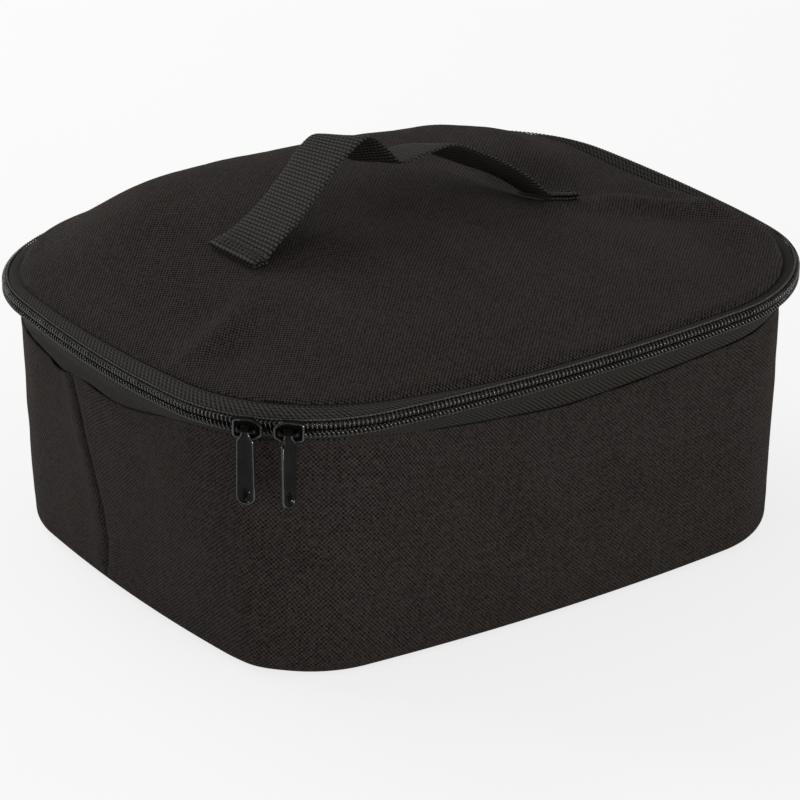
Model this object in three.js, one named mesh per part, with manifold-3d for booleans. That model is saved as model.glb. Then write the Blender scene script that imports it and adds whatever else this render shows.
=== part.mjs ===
// A casserole carrier: a padded fabric box that zips round three sides, with a domed lid hinged at the
// back, a webbing handle sewn along the lid, and two sliders that meet head to head at the front left.
// Millimetres, +Z up. The origin is on the floor under the middle, +X runs along the long side to the
// right, and +Y points back to the hinge.
import * as THREE from 'three';
import { mergeVertices } from 'three/addons/utils/BufferGeometryUtils.js';
import Module from 'manifold-3d';

const wasm = await Module();
wasm.setup();

// Plan: the outer face of the zip, and the foot that the bag stands on
const RIM_LENGTH = 376;
const RIM_WIDTH = 305;
const RIM_CORNER = 87;
const FOOT_LENGTH = 334;
const FOOT_WIDTH = 277;
const FOOT_CORNER = 57;
// How far the short and the long sides swell between their corners
const END_BOW = 3.7;
const SIDE_BOW = 5;

// Heights and steps of the side profile, counted from the zip's middle line
const ZIP_HEIGHT = 138;
const COLLAR_DROP = 15;
const COLLAR_INSET = 9;
const LID_SEAM_RISE = 6;
const LID_SEAM_INSET = 8.3;
const EDGE_RADIUS = 8;

// The lid's dome: its rise over the seam, how it leans to the left and to the back, how its ends and corners
// fall, how its front and back swell, and the two powers that shape its shoulder
const LID_CROWN = 28.7;
const LID_LEAN_LEFT = 12;
const LID_LEAN_BACK = 20;
const LID_END_FALL = 7.5;
const LID_CORNER_FALL = 14;
const LID_BACK_SWELL = 8;
const LID_SHOULDER = 3.25;
const LID_EDGE_EASE = 1.13;
// The soft dent behind the handle's right end, as its middle in plan, depth and radius
const DENT_X = 107;
const DENT_Y = 28;
const DENT_DEPTH = 15;
const DENT_RADIUS = 36;

// Thickness of each layer, and the gap between neighbours. The hinge strip's face stands HINGE_FACE inside
// the zip's face.
const FABRIC = 1.2;
const WALL_FOAM = 4.5;
const LID_FOAM = 4;
const BOARD = 1.5;
const LINING = 0.8;
const TAPE = 1;
const HINGE_STRIP = 1.5;
const HINGE_FACE = 0.5;
const BINDING = 1;
const BINDING_WIDTH = 9;
const WEBBING = 2.2;
const GAP = 0.3;

// Zip coil: depth, height of each half, and the slit between the halves
const COIL_DEPTH = 3;
const COIL_HEIGHT = 4.2;
const COIL_SLIT = 1.2;
const TAPE_MARGIN = 0.6;

// Handle: its sewn ends on the lid, its width, and how far it sits to the front of the middle line
const STRAP_WIDTH = 32;
const STRAP_LEFT = -105;
const STRAP_RIGHT = 99;
const STRAP_END = 18;
const STRAP_ACROSS = -4;
const STRAP_SEAT = 0.4;
const END_LAYERS = 2;

// Sliders: where each sits on the front left corner, in degrees round it from the left end
const LEFT_SLIDER_AT = 37.4;
const RIGHT_SLIDER_AT = 50.4;
const SLIDER_LENGTH = 15.2;
const SLIDER_NOSE = 11.6;
const NOSE_SHARE = 0.45;
const SLIDER_TAIL = 9.6;
const SLIDER_BACK_HEIGHT = 8.6;
const WING = 1.6;
const FRONT_PLAY = 1;
const BACK_PLAY = 1.3;
const FLANGE_REACH = 1.2;
const FLANGE = 0.8;
const POST = 0.6;
const POST_LENGTH = 4;
const PIN_OUT = 5.2;
const PIN_RADIUS = 0.85;
const PIN_PLAY = 0.3;
const EAR = 1.4;
const EAR_HALF_HEIGHT = 1.6;
const EAR_OVER_PIN = 1.5;

// Pulls, which hang from the sliders' pins
const PULL_LENGTH = 39;
const PULL_WIDTH = 9.5;
const PULL_THICKNESS = 1.8;
const PULL_KNUCKLE = 5.4;
const PULL_KNUCKLE_RADIUS = 2;
const PULL_SHOULDER = 3.2;
const PULL_CORNER = 3;
const PULL_RIM = 1.5;
const PULL_RECESS = 0.5;

// Facets along each stretch of an outline, round the folded edge, up the walls and dome, and along the
// handle. The walls' upright seams stand SEAM_STEP facets along the ends from the rear corners.
const END_STEPS = 5;
const SEAM_STEP = 2;
const SIDE_STEPS = 6;
const CORNER_STEPS = 6;
const EDGE_STEPS = 3;
const WALL_ROWS = 4;
const LID_RINGS = [0.22, 0.42, 0.6, 0.75, 0.86, 0.93, 1];
const STRAP_STEPS = 36;
const STRAP_END_STEPS = 3;
const STRAP_ROWS = 4;
const ROUND_STEPS = 12;

// Stations of the slack handle between its sewn ends: share of the way along, shift to the back, rise
// over the lid, the turn of the webbing's width in plan, in degrees, and the lift of its front edge
const STRAP_STATIONS = [
  [0, 0, 0, 0, 0],
  [0.09, 4.5, 8.5, 4, 1],
  [0.2, 11, 18.5, 8, 2.5],
  [0.3, 17.5, 27.5, 18, 3.5],
  [0.38, 21, 31, 29, 4],
  [0.45, 21.5, 21.5, 27, 5],
  [0.5, 20, 15.2, 20, 5.5],
  [0.6, 19, 17.4, 19, 6.5],
  [0.69, 18, 19, 18.3, 7.5],
  [0.79, 16, 13.5, 18, 8],
  [0.88, 12.5, 9.2, 15.4, 6.9],
  [0.94, 8, 6.6, 12, 4.5],
  [0.98, 3, 2.6, 4, 4.6],
  [1, 0, 0, 0, 0],
];

const DEGREES = Math.PI / 180;

const COLOURS = {
  oxford: { color: 0x2a2624, roughness: 0.9, metalness: 0 },
  foam: { color: 0xd8d6d0, roughness: 1, metalness: 0 },
  board: { color: 0x55565a, roughness: 0.7, metalness: 0 },
  lining: { color: 0xb9bcc0, roughness: 0.35, metalness: 0.2 },
  tape: { color: 0x262826, roughness: 0.85, metalness: 0 },
  coil: { color: 0x1c1d1d, roughness: 0.45, metalness: 0 },
  binding: { color: 0x1f1f20, roughness: 0.9, metalness: 0 },
  webbing: { color: 0x242424, roughness: 0.85, metalness: 0 },
  enamel: { color: 0x101112, roughness: 0.25, metalness: 0.3 },
};

// Outlines in plan

const RIM = { length: RIM_LENGTH, width: RIM_WIDTH, corner: RIM_CORNER };
const FOOT = { length: FOOT_LENGTH, width: FOOT_WIDTH, corner: FOOT_CORNER };
const WALL_TOP = ZIP_HEIGHT - COLLAR_DROP;

function inset(plan, distance) {
  return {
    length: plan.length - 2 * distance,
    width: plan.width - 2 * distance,
    corner: plan.corner - distance,
  };
}

function between(low, high, share) {
  return {
    length: THREE.MathUtils.lerp(low.length, high.length, share),
    width: THREE.MathUtils.lerp(low.width, high.width, share),
    corner: THREE.MathUtils.lerp(low.corner, high.corner, share),
  };
}

// The radius of an arc with this half chord and bow
function bowRadius(halfChord, bow) {
  return (halfChord ** 2 + bow ** 2) / (2 * bow);
}

// Four bowed sides and four corner arcs, each tangent to its neighbours
function arcsOf(plan) {
  const halfLength = plan.length / 2;
  const halfWidth = plan.width / 2;
  const endRadius = bowRadius(halfWidth - plan.corner, END_BOW);
  const sideRadius = bowRadius(halfLength - plan.corner, SIDE_BOW);
  let centreX = halfLength - plan.corner;
  let centreY = halfWidth - plan.corner;
  const settleRounds = 40;
  for (let round = 0; round < settleRounds; round += 1) {
    centreX = halfLength - endRadius + Math.sqrt((endRadius - plan.corner) ** 2 - centreY ** 2);
    centreY = halfWidth - sideRadius + Math.sqrt((sideRadius - plan.corner) ** 2 - centreX ** 2);
  }
  const endAngle = Math.asin(centreY / (endRadius - plan.corner));
  const sideAngle = Math.asin(centreX / (sideRadius - plan.corner));
  return { halfLength, halfWidth, endRadius, sideRadius, centreX, centreY, endAngle, sideAngle };
}

// Points of an outline, from the rear of the left end, along the front, to the back and round again
function outline(plan) {
  const arcs = arcsOf(plan);
  const { endAngle, sideAngle, centreX, centreY } = arcs;
  const endCentre = arcs.halfLength - arcs.endRadius;
  const sideCentre = arcs.halfWidth - arcs.sideRadius;
  const quarter = Math.PI / 2;
  const stretches = [
    [-endCentre, 0, arcs.endRadius, 2 * quarter - endAngle, 2 * quarter + endAngle, END_STEPS],
    [-centreX, -centreY, plan.corner, 2 * quarter + endAngle, 3 * quarter - sideAngle, CORNER_STEPS],
    [0, -sideCentre, arcs.sideRadius, 3 * quarter - sideAngle, 3 * quarter + sideAngle, SIDE_STEPS],
    [centreX, -centreY, plan.corner, 3 * quarter + sideAngle, 4 * quarter - endAngle, CORNER_STEPS],
    [endCentre, 0, arcs.endRadius, -endAngle, endAngle, END_STEPS],
    [centreX, centreY, plan.corner, endAngle, quarter - sideAngle, CORNER_STEPS],
    [0, sideCentre, arcs.sideRadius, quarter - sideAngle, quarter + sideAngle, SIDE_STEPS],
    [-centreX, centreY, plan.corner, quarter + sideAngle, 2 * quarter - endAngle, CORNER_STEPS],
  ];
  const points = [];
  for (const [x, y, radius, from, to, steps] of stretches) {
    for (let step = 0; step < steps; step += 1) {
      const angle = THREE.MathUtils.lerp(from, to, step / steps);
      points.push(new THREE.Vector2(x + radius * Math.cos(angle), y + radius * Math.sin(angle)));
    }
  }
  return points;
}

// Columns where the stretches of an outline begin
const FRONT_END = 2 * END_STEPS + 2 * CORNER_STEPS + SIDE_STEPS;
const HINGE_START = FRONT_END + CORNER_STEPS;
const HINGE_END = HINGE_START + SIDE_STEPS;
const COLUMNS = HINGE_END + CORNER_STEPS;
const FRONT_SPAN = [SEAM_STEP, FRONT_END - SEAM_STEP];
const BACK_SPAN = [FRONT_END - SEAM_STEP, COLUMNS + SEAM_STEP];
const HINGE_SPAN = [HINGE_START, HINGE_END];
const ZIP_SPAN = [HINGE_END, COLUMNS + HINGE_START];

function atHeight(points, z) {
  return points.map((point) => new THREE.Vector3(point.x, point.y, z));
}

// A loop round the rim, this far inside the zip's face and over its middle line
function rimLoop(distance, rise) {
  return atHeight(outline(inset(RIM, distance)), ZIP_HEIGHT + rise);
}

// A loop round the walls, this deep inside their outer face
function wallLoop(depth, z) {
  const top = inset(RIM, COLLAR_INSET);
  return atHeight(outline(inset(between(FOOT, top, z / WALL_TOP), depth)), z);
}

// Solids

function geometryOf(points, triangles) {
  let volume = 0;
  for (const [a, b, c] of triangles) {
    volume += points[a].dot(new THREE.Vector3().crossVectors(points[b], points[c]));
  }
  const outward = volume > 0 ? triangles : triangles.map(([a, b, c]) => [a, c, b]);
  const geometry = new THREE.BufferGeometry();
  geometry.setAttribute('position', new THREE.Float32BufferAttribute(points.flatMap((p) => p.toArray()), 3));
  geometry.setIndex(outward.flat());
  geometry.computeVertexNormals();
  return geometry;
}

// The triangles that close a section, in the order of its points
function capOf(section) {
  const side = new THREE.Vector3().subVectors(section[0], section[1]).setZ(0);
  for (const point of section) {
    const reach = new THREE.Vector3().subVectors(section[0], point).setZ(0);
    if (reach.length() > side.length()) {
      side.copy(reach);
    }
  }
  side.normalize();
  const flat = section.map((point) => new THREE.Vector2(point.dot(side), point.z));
  const faces = THREE.ShapeUtils.triangulateShape(flat, []);
  const [a, b, c] = faces[0].map((index) => flat[index]);
  const sameWay = THREE.ShapeUtils.area([a, b, c]) * THREE.ShapeUtils.area(flat) > 0;
  return sameWay ? faces : faces.map(([i, j, k]) => [i, k, j]);
}

// A band with the given loops as the edges of its section. A span of columns leaves both ends capped,
// half a gap short of its seam, and no span gives a whole ring.
function band(loops, span) {
  const sections = [];
  if (span) {
    const [start, end] = span;
    for (let column = start; column <= end; column += 1) {
      sections.push(loops.map((loop) => loop[column % COLUMNS].clone()));
    }
    trimEnd(sections[0], sections[1]);
    trimEnd(sections.at(-1), sections.at(-2));
  } else {
    for (let column = 0; column < COLUMNS; column += 1) {
      sections.push(loops.map((loop) => loop[column]));
    }
  }
  return sweep(sections, !span);
}

function trimEnd(section, neighbour) {
  section.forEach((point, index) => {
    const share = GAP / 2 / point.distanceTo(neighbour[index]);
    point.lerp(neighbour[index], share);
  });
}

// A solid through a row of sections that all have the same number of points
function sweep(sections, closed) {
  const size = sections[0].length;
  const points = sections.flat();
  const triangles = [];
  const steps = closed ? sections.length : sections.length - 1;
  for (let step = 0; step < steps; step += 1) {
    const here = step * size;
    const there = ((step + 1) % sections.length) * size;
    for (let index = 0; index < size; index += 1) {
      const next = (index + 1) % size;
      triangles.push([here + index, there + index, there + next]);
      triangles.push([here + index, there + next, here + next]);
    }
  }
  if (!closed) {
    const last = (sections.length - 1) * size;
    triangles.push(...capOf(sections[0]));
    triangles.push(...capOf(sections.at(-1)).map(([a, b, c]) => [last + a, last + c, last + b]));
  }
  return geometryOf(points, triangles);
}

// A flat sheet with the outline of the walls at its depth, between two heights
function plate(depth, low, high) {
  const edge = outline(inset(FOOT, depth));
  const points = [...atHeight(edge, low), ...atHeight(edge, high)];
  points.push(new THREE.Vector3(0, 0, low), new THREE.Vector3(0, 0, high));
  const [lowCentre, highCentre] = [2 * COLUMNS, 2 * COLUMNS + 1];
  const triangles = [];
  for (let column = 0; column < COLUMNS; column += 1) {
    const next = (column + 1) % COLUMNS;
    triangles.push([column, next, COLUMNS + next], [column, COLUMNS + next, COLUMNS + column]);
    triangles.push([highCentre, COLUMNS + column, COLUMNS + next], [lowCentre, next, column]);
  }
  return geometryOf(points, triangles);
}

// Walls and bottom: each layer turns in under the bag with a rounded edge

function wallLayer(depth, thickness, span) {
  return band([...wallFace(depth), ...wallFace(depth + thickness).reverse()], span);
}

// Loops up one face of a layer, from the flat bottom to the top of the walls
function wallFace(depth) {
  const loops = [];
  for (let step = 0; step <= EDGE_STEPS; step += 1) {
    loops.push(edgeLoop(depth, step));
  }
  for (let row = 1; row <= WALL_ROWS; row += 1) {
    loops.push(wallLoop(depth, THREE.MathUtils.lerp(EDGE_RADIUS, WALL_TOP, row / WALL_ROWS)));
  }
  return loops;
}

function edgeLoop(depth, step) {
  const angle = (step / EDGE_STEPS) * (Math.PI / 2);
  const radius = EDGE_RADIUS - depth;
  return wallLoop(EDGE_RADIUS - radius * Math.sin(angle), EDGE_RADIUS - radius * Math.cos(angle));
}

const FOAM_DEPTH = FABRIC + GAP;
const LINING_DEPTH = FOAM_DEPTH + WALL_FOAM + GAP;
const WALL_DEPTH = LINING_DEPTH + LINING;
const BOTTOM_INSET = EDGE_RADIUS + GAP;
const BOARD_TOP = FOAM_DEPTH + BOARD;

// The binding that folds over the tops of the walls' padding and lining
function rimBinding() {
  const outside = FOAM_DEPTH;
  const inside = WALL_DEPTH + GAP + BINDING;
  const low = WALL_TOP - BINDING_WIDTH;
  const seat = WALL_TOP + GAP;
  return band([
    wallLoop(outside, seat),
    wallLoop(inside - BINDING, seat),
    wallLoop(inside - BINDING, low),
    wallLoop(inside, low),
    wallLoop(inside, seat + BINDING),
    wallLoop(outside, seat + BINDING),
  ]);
}

// The flat tape over the seam of the bottom lining
function bottomBinding() {
  const outer = BOTTOM_INSET + GAP;
  const low = WALL_DEPTH + GAP;
  const loop = (distance, z) => atHeight(outline(inset(FOOT, distance)), z);
  return band([
    loop(outer, low),
    loop(outer + BINDING_WIDTH, low),
    loop(outer + BINDING_WIDTH, low + BINDING),
    loop(outer, low + BINDING),
  ]);
}

// Zip and hinge strip: each runs from the zip's middle line down to the walls or up to the lid

const COIL_LOW = COIL_SLIT / 2;
const COIL_HIGH = COIL_LOW + COIL_HEIGHT;
const TAPE_BEND = COIL_HIGH + TAPE_MARGIN;
const TAPE_FACE = COIL_DEPTH + GAP;
const TAPE_END = LID_SEAM_INSET - GAP;

function coil(side) {
  return band([
    rimLoop(0, side * COIL_LOW),
    rimLoop(0, side * COIL_HIGH),
    rimLoop(COIL_DEPTH, side * COIL_HIGH),
    rimLoop(COIL_DEPTH, side * COIL_LOW),
  ], ZIP_SPAN);
}

function lowerBand(face, thickness, span) {
  const foot = GAP - COLLAR_DROP;
  return band([
    rimLoop(face, -COIL_LOW),
    rimLoop(face, -TAPE_BEND),
    rimLoop(COLLAR_INSET, foot),
    rimLoop(COLLAR_INSET + TAPE, foot),
    rimLoop(face + thickness, -TAPE_BEND),
    rimLoop(face + thickness, -COIL_LOW),
  ], span);
}

function upperBand(face, thickness, span) {
  return band([
    rimLoop(face, COIL_LOW),
    rimLoop(face, TAPE_BEND),
    rimLoop(TAPE_END, LID_SEAM_RISE),
    rimLoop(TAPE_END, LID_SEAM_RISE - FABRIC),
    rimLoop(face + thickness, TAPE_BEND - thickness / 2),
    rimLoop(face + thickness, COIL_LOW),
  ], span);
}

// Lid: a dome over rings that shrink to the middle of the seam's outline

const LID_EDGE = outline(inset(RIM, LID_SEAM_INSET));

// Height of the lid's face at a point on a ring
function domeHeight(x, y, ring) {
  const along = x / (RIM_LENGTH / 2);
  const across = y / (RIM_WIDTH / 2);
  const lean = LID_LEAN_BACK * across - LID_LEAN_LEFT * along;
  const swell = LID_BACK_SWELL * across ** 2 - LID_END_FALL * along ** 2;
  const fall = LID_CORNER_FALL * (along * across) ** 2;
  const profile = (1 - ring ** LID_SHOULDER) ** LID_EDGE_EASE;
  const dent = DENT_DEPTH * Math.exp(-((x - DENT_X) ** 2 + (y - DENT_Y) ** 2) / DENT_RADIUS ** 2);
  return ZIP_HEIGHT + LID_SEAM_RISE + profile * (LID_CROWN + lean + swell - fall - dent);
}

const LID_TOP = new THREE.Vector3(0, 0, domeHeight(0, 0, 0));
const LID_LOOPS = LID_RINGS.map((ring) => LID_EDGE.map((point) => {
  const x = ring * point.x;
  const y = ring * point.y;
  return new THREE.Vector3(x, y, domeHeight(x, y, ring));
}));

// A loop on the lid's outermost facets, this share of the way to the edge and this far under the face
function lidEdgeLoop(share, depth) {
  const inner = LID_LOOPS.at(-2);
  const drop = new THREE.Vector3(0, 0, -depth);
  return LID_LOOPS.at(-1).map((point, column) => inner[column].clone().lerp(point, share).add(drop));
}

function lidLayer(depth, thickness, edgeShare) {
  const lowered = (points, drop) => points.map((point) => point.clone().setZ(point.z - drop));
  const sheet = (drop) => [
    ...LID_LOOPS.slice(0, -1).flatMap((loop) => lowered(loop, drop)),
    ...lidEdgeLoop(edgeShare, drop),
    ...lowered([LID_TOP], drop),
  ];
  const points = [...sheet(depth), ...sheet(depth + thickness)];
  const below = points.length / 2;
  const centre = below - 1;
  const edge = (LID_RINGS.length - 1) * COLUMNS;
  const triangles = [];
  for (let column = 0; column < COLUMNS; column += 1) {
    const next = (column + 1) % COLUMNS;
    const face = [[centre, column, next]];
    for (let start = 0; start < edge; start += COLUMNS) {
      const [a, b] = [start + column, start + next];
      face.push([a, a + COLUMNS, b + COLUMNS], [a, b + COLUMNS, b]);
    }
    triangles.push(...face, ...face.map(([a, b, c]) => [below + a, below + c, below + b]));
    const [a, b] = [edge + column, edge + next];
    triangles.push([a, below + a, below + b], [a, below + b, b]);
  }
  return geometryOf(points, triangles);
}

const LID_FOAM_DEPTH = FABRIC + GAP;
const LID_LINING_DEPTH = LID_FOAM_DEPTH + LID_FOAM + GAP;
const LID_DEPTH = LID_LINING_DEPTH + LINING;
// Shares of the way across the outermost facets, where the padding ends and its binding stands
const PADDING_EDGE = 0.75;
const BINDING_INNER = 0.8;
const BINDING_OUTER = 0.89;
const BINDING_HEM = 0.1;

function lidBinding() {
  const seat = LID_DEPTH + GAP;
  return band([
    lidEdgeLoop(BINDING_OUTER, LID_FOAM_DEPTH),
    lidEdgeLoop(BINDING_OUTER, seat + BINDING),
    lidEdgeLoop(BINDING_HEM, seat + BINDING),
    lidEdgeLoop(BINDING_HEM, seat),
    lidEdgeLoop(BINDING_INNER, seat),
    lidEdgeLoop(BINDING_INNER, LID_FOAM_DEPTH),
  ]);
}

// Height of the faceted lid under a point
function lidHeight(x, y) {
  const direction = Math.atan2(y, x);
  for (let column = 0; column < COLUMNS; column += 1) {
    const next = (column + 1) % COLUMNS;
    const [a, b] = [LID_EDGE[column], LID_EDGE[next]];
    const sweepAngle = turn(Math.atan2(a.y, a.x), Math.atan2(b.y, b.x));
    const part = turn(Math.atan2(a.y, a.x), direction);
    if (part >= 0 && part <= sweepAngle) {
      return facetHeight(column, next, x, y);
    }
  }
  return LID_TOP.z;
}

// The signed angle from one direction to another
function turn(from, to) {
  return Math.atan2(Math.sin(to - from), Math.cos(to - from));
}

function facetHeight(column, next, x, y) {
  const [a, b] = [LID_EDGE[column], LID_EDGE[next]];
  // The point as a sum of the two edge points, whose shares add up to its ring
  const area = a.x * b.y - a.y * b.x;
  const shareA = (x * b.y - y * b.x) / area;
  const shareB = (a.x * y - a.y * x) / area;
  const ring = shareA + shareB;
  const side = ring > 0 ? shareB / ring : 0;
  let low = 0;
  let lowHeight = LID_TOP.z;
  for (let index = 0; index < LID_RINGS.length; index += 1) {
    const loop = LID_LOOPS[index];
    const height = THREE.MathUtils.lerp(loop[column].z, loop[next].z, side);
    if (ring <= LID_RINGS[index]) {
      return THREE.MathUtils.mapLinear(ring, low, LID_RINGS[index], lowHeight, height);
    }
    low = LID_RINGS[index];
    lowHeight = height;
  }
  return lowHeight;
}

// Handle: webbing folded double and sewn flat at each end, and a slack length between

function handleEnd(from, to) {
  const sections = [];
  for (let step = 0; step <= STRAP_END_STEPS; step += 1) {
    const x = THREE.MathUtils.lerp(from, to, step / STRAP_END_STEPS);
    const section = [];
    for (let row = 0; row <= STRAP_ROWS; row += 1) {
      const y = STRAP_ACROSS + STRAP_WIDTH * (row / STRAP_ROWS - 0.5);
      section.push(new THREE.Vector3(x, y, lidHeight(x, y) + STRAP_SEAT));
    }
    const upper = section.map((point) => point.clone().setZ(point.z + END_LAYERS * WEBBING)).reverse();
    sections.push([...section, ...upper]);
  }
  return sweep(sections, false);
}

function handleStrap() {
  const start = STRAP_LEFT + STRAP_END + GAP;
  const length = STRAP_RIGHT - STRAP_END - GAP - start;
  const topLayer = STRAP_SEAT + (END_LAYERS - 0.5) * WEBBING;
  const stationPoint = (side, [share, shift, rise, swivel, lift]) => {
    const reach = side * STRAP_WIDTH / 2;
    const middleX = start + share * length;
    const middleY = STRAP_ACROSS + shift;
    const x = middleX - reach * Math.sin(swivel * DEGREES);
    const y = middleY + reach * Math.cos(swivel * DEGREES);
    // The ends lie on the lid, and the slack between them tilts from its middle line
    const sewn = share === 0 || share === 1;
    const lid = sewn ? lidHeight(x, y) : lidHeight(middleX, middleY);
    return new THREE.Vector3(x, y, lid + topLayer + rise - side * lift / 2);
  };
  const edge = (side) => new THREE.CatmullRomCurve3(
    STRAP_STATIONS.map((station) => stationPoint(side, station)));
  const [front, back] = [edge(-1), edge(1)];
  const sections = [];
  for (let step = 0; step <= STRAP_STEPS; step += 1) {
    const share = step / STRAP_STEPS;
    const [a, b] = [front.getPoint(share), back.getPoint(share)];
    const along = front.getTangent(share).add(back.getTangent(share));
    const across = new THREE.Vector3().subVectors(b, a);
    // The cut ends stand upright against the sewn ends
    const atEnd = step === 0 || step === STRAP_STEPS;
    const up = atEnd ? new THREE.Vector3(0, 0, 1) : new THREE.Vector3().crossVectors(along, across);
    up.setLength(WEBBING / 2);
    sections.push([
      a.clone().sub(up),
      b.clone().sub(up),
      b.clone().add(up),
      a.clone().add(up),
    ]);
  }
  return sweep(sections, false);
}

// Sliders and pulls, each in a frame with X along the zip, Y outwards and Z up

function manifoldOf(geometry) {
  const bare = new THREE.BufferGeometry();
  bare.setAttribute('position', geometry.getAttribute('position').clone());
  if (geometry.index) {
    bare.setIndex(geometry.index.clone());
  }
  const sameSpot = 1e-4;
  const merged = mergeVertices(bare, sameSpot);
  return new wasm.Manifold(new wasm.Mesh({
    numProp: 3,
    vertProperties: new Float32Array(merged.getAttribute('position').array),
    triVerts: new Uint32Array(merged.index.array),
  }));
}

function geometryFrom(manifold) {
  const { vertProperties, triVerts } = manifold.getMesh();
  const geometry = new THREE.BufferGeometry();
  geometry.setAttribute('position', new THREE.Float32BufferAttribute(vertProperties, 3));
  geometry.setIndex(Array.from(triVerts));
  geometry.computeVertexNormals();
  return geometry;
}

function block(lowX, highX, lowY, highY, lowZ, highZ) {
  const geometry = new THREE.BoxGeometry(highX - lowX, highY - lowY, highZ - lowZ);
  geometry.translate((lowX + highX) / 2, (lowY + highY) / 2, (lowZ + highZ) / 2);
  return manifoldOf(geometry);
}

// A shape drawn in X and Z, as thick as the step from one Y to the other
function slab(shape, lowY, highY) {
  const geometry = new THREE.ExtrudeGeometry(shape, {
    depth: highY - lowY,
    bevelEnabled: false,
    curveSegments: ROUND_STEPS / 2,
  });
  geometry.rotateX(Math.PI / 2);
  geometry.translate(0, highY, 0);
  return manifoldOf(geometry);
}

function rod(radius, length, y) {
  const geometry = new THREE.CylinderGeometry(radius, radius, length, ROUND_STEPS);
  geometry.rotateZ(Math.PI / 2);
  geometry.translate(0, y, 0);
  return manifoldOf(geometry);
}

// A wing's outline: a flat tail, and a round nose that points along +X
function wingShape(nose, tail) {
  const half = SLIDER_LENGTH / 2;
  const noseReach = nose * NOSE_SHARE;
  const shape = new THREE.Shape();
  shape.moveTo(-half, -tail / 2);
  shape.lineTo(half - noseReach, -nose / 2);
  shape.absellipse(half - noseReach, 0, noseReach, nose / 2, -Math.PI / 2, Math.PI / 2, false, 0);
  shape.lineTo(-half, tail / 2);
  shape.closePath();
  return shape;
}

const WING_FACE = FRONT_PLAY + WING;
const BACK_FACE = -(TAPE_FACE + TAPE + BACK_PLAY);
const EAR_INNER = PULL_KNUCKLE / 2 + PIN_PLAY;

// A slider whose nose points to the left end, or turned end for end
function sliderGeometry(noseLeft) {
  const backTail = SLIDER_TAIL * SLIDER_BACK_HEIGHT / SLIDER_NOSE;
  const half = SLIDER_LENGTH / 2;
  let body = slab(wingShape(SLIDER_NOSE, SLIDER_TAIL), FRONT_PLAY, WING_FACE);
  body = body.add(slab(wingShape(SLIDER_BACK_HEIGHT, backTail), BACK_FACE - WING, BACK_FACE));
  const postEnd = half - POST_LENGTH / 2;
  const overlap = WING / 2;
  const postBack = BACK_FACE - overlap;
  const postFront = FRONT_PLAY + overlap;
  body = body.add(block(postEnd - POST_LENGTH, postEnd, postBack, postFront, -POST / 2, POST / 2));
  for (const side of [-1, 1]) {
    const lip = [side * (COIL_HIGH + GAP), side * (COIL_HIGH + GAP + FLANGE)].sort((a, b) => a - b);
    const lipEnd = half - SLIDER_NOSE * NOSE_SHARE;
    body = body.add(block(-half / 2, lipEnd, FRONT_PLAY - FLANGE_REACH, postFront, ...lip));
    const ear = [side * EAR_INNER, side * (EAR_INNER + EAR)].sort((a, b) => a - b);
    const earOuter = PIN_OUT + EAR_OVER_PIN;
    body = body.add(block(...ear, FRONT_PLAY + overlap, earOuter, -EAR_HALF_HEIGHT, EAR_HALF_HEIGHT));
  }
  body = body.add(rod(PIN_RADIUS, 2 * EAR_INNER + EAR, PIN_OUT));
  const geometry = geometryFrom(body);
  return noseLeft ? geometry : geometry.rotateY(Math.PI);
}

// The pull's outline, a tag that widens under its knuckle and has rounded lower corners
function pullShape(margin) {
  const half = PULL_WIDTH / 2 - margin;
  const neck = Math.min(half, PULL_KNUCKLE / 2 - margin / 2);
  const low = -PULL_LENGTH + margin;
  const corner = PULL_CORNER - margin / 2;
  const shoulder = -PULL_SHOULDER - margin;
  const shape = new THREE.Shape();
  shape.moveTo(-neck, margin > 0 ? shoulder : 0);
  shape.lineTo(-neck, shoulder);
  shape.lineTo(-half, shoulder - (half - neck));
  shape.lineTo(-half, low + corner);
  shape.absarc(-half + corner, low + corner, corner, Math.PI, 1.5 * Math.PI, false);
  shape.absarc(half - corner, low + corner, corner, 1.5 * Math.PI, 2 * Math.PI, false);
  shape.lineTo(half, shoulder - (half - neck));
  shape.lineTo(neck, shoulder);
  shape.lineTo(neck, margin > 0 ? shoulder : 0);
  shape.closePath();
  return shape;
}

function pullGeometry() {
  const face = PIN_OUT + PULL_THICKNESS / 2;
  const hole = PIN_RADIUS + PIN_PLAY;
  let body = slab(pullShape(0), PIN_OUT - PULL_THICKNESS / 2, face);
  body = body.add(rod(PULL_KNUCKLE_RADIUS, PULL_KNUCKLE, PIN_OUT));
  body = body.subtract(rod(hole, 2 * PULL_KNUCKLE, PIN_OUT));
  body = body.subtract(slab(pullShape(PULL_RIM), face - PULL_RECESS, face + PULL_RECESS));
  return geometryFrom(body);
}

// Assembly

const carrier = new THREE.Group();

function piece(name, geometry, colour, parent = carrier) {
  const mesh = new THREE.Mesh(geometry, new THREE.MeshStandardMaterial(COLOURS[colour]));
  mesh.name = name;
  parent.add(mesh);
}

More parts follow.
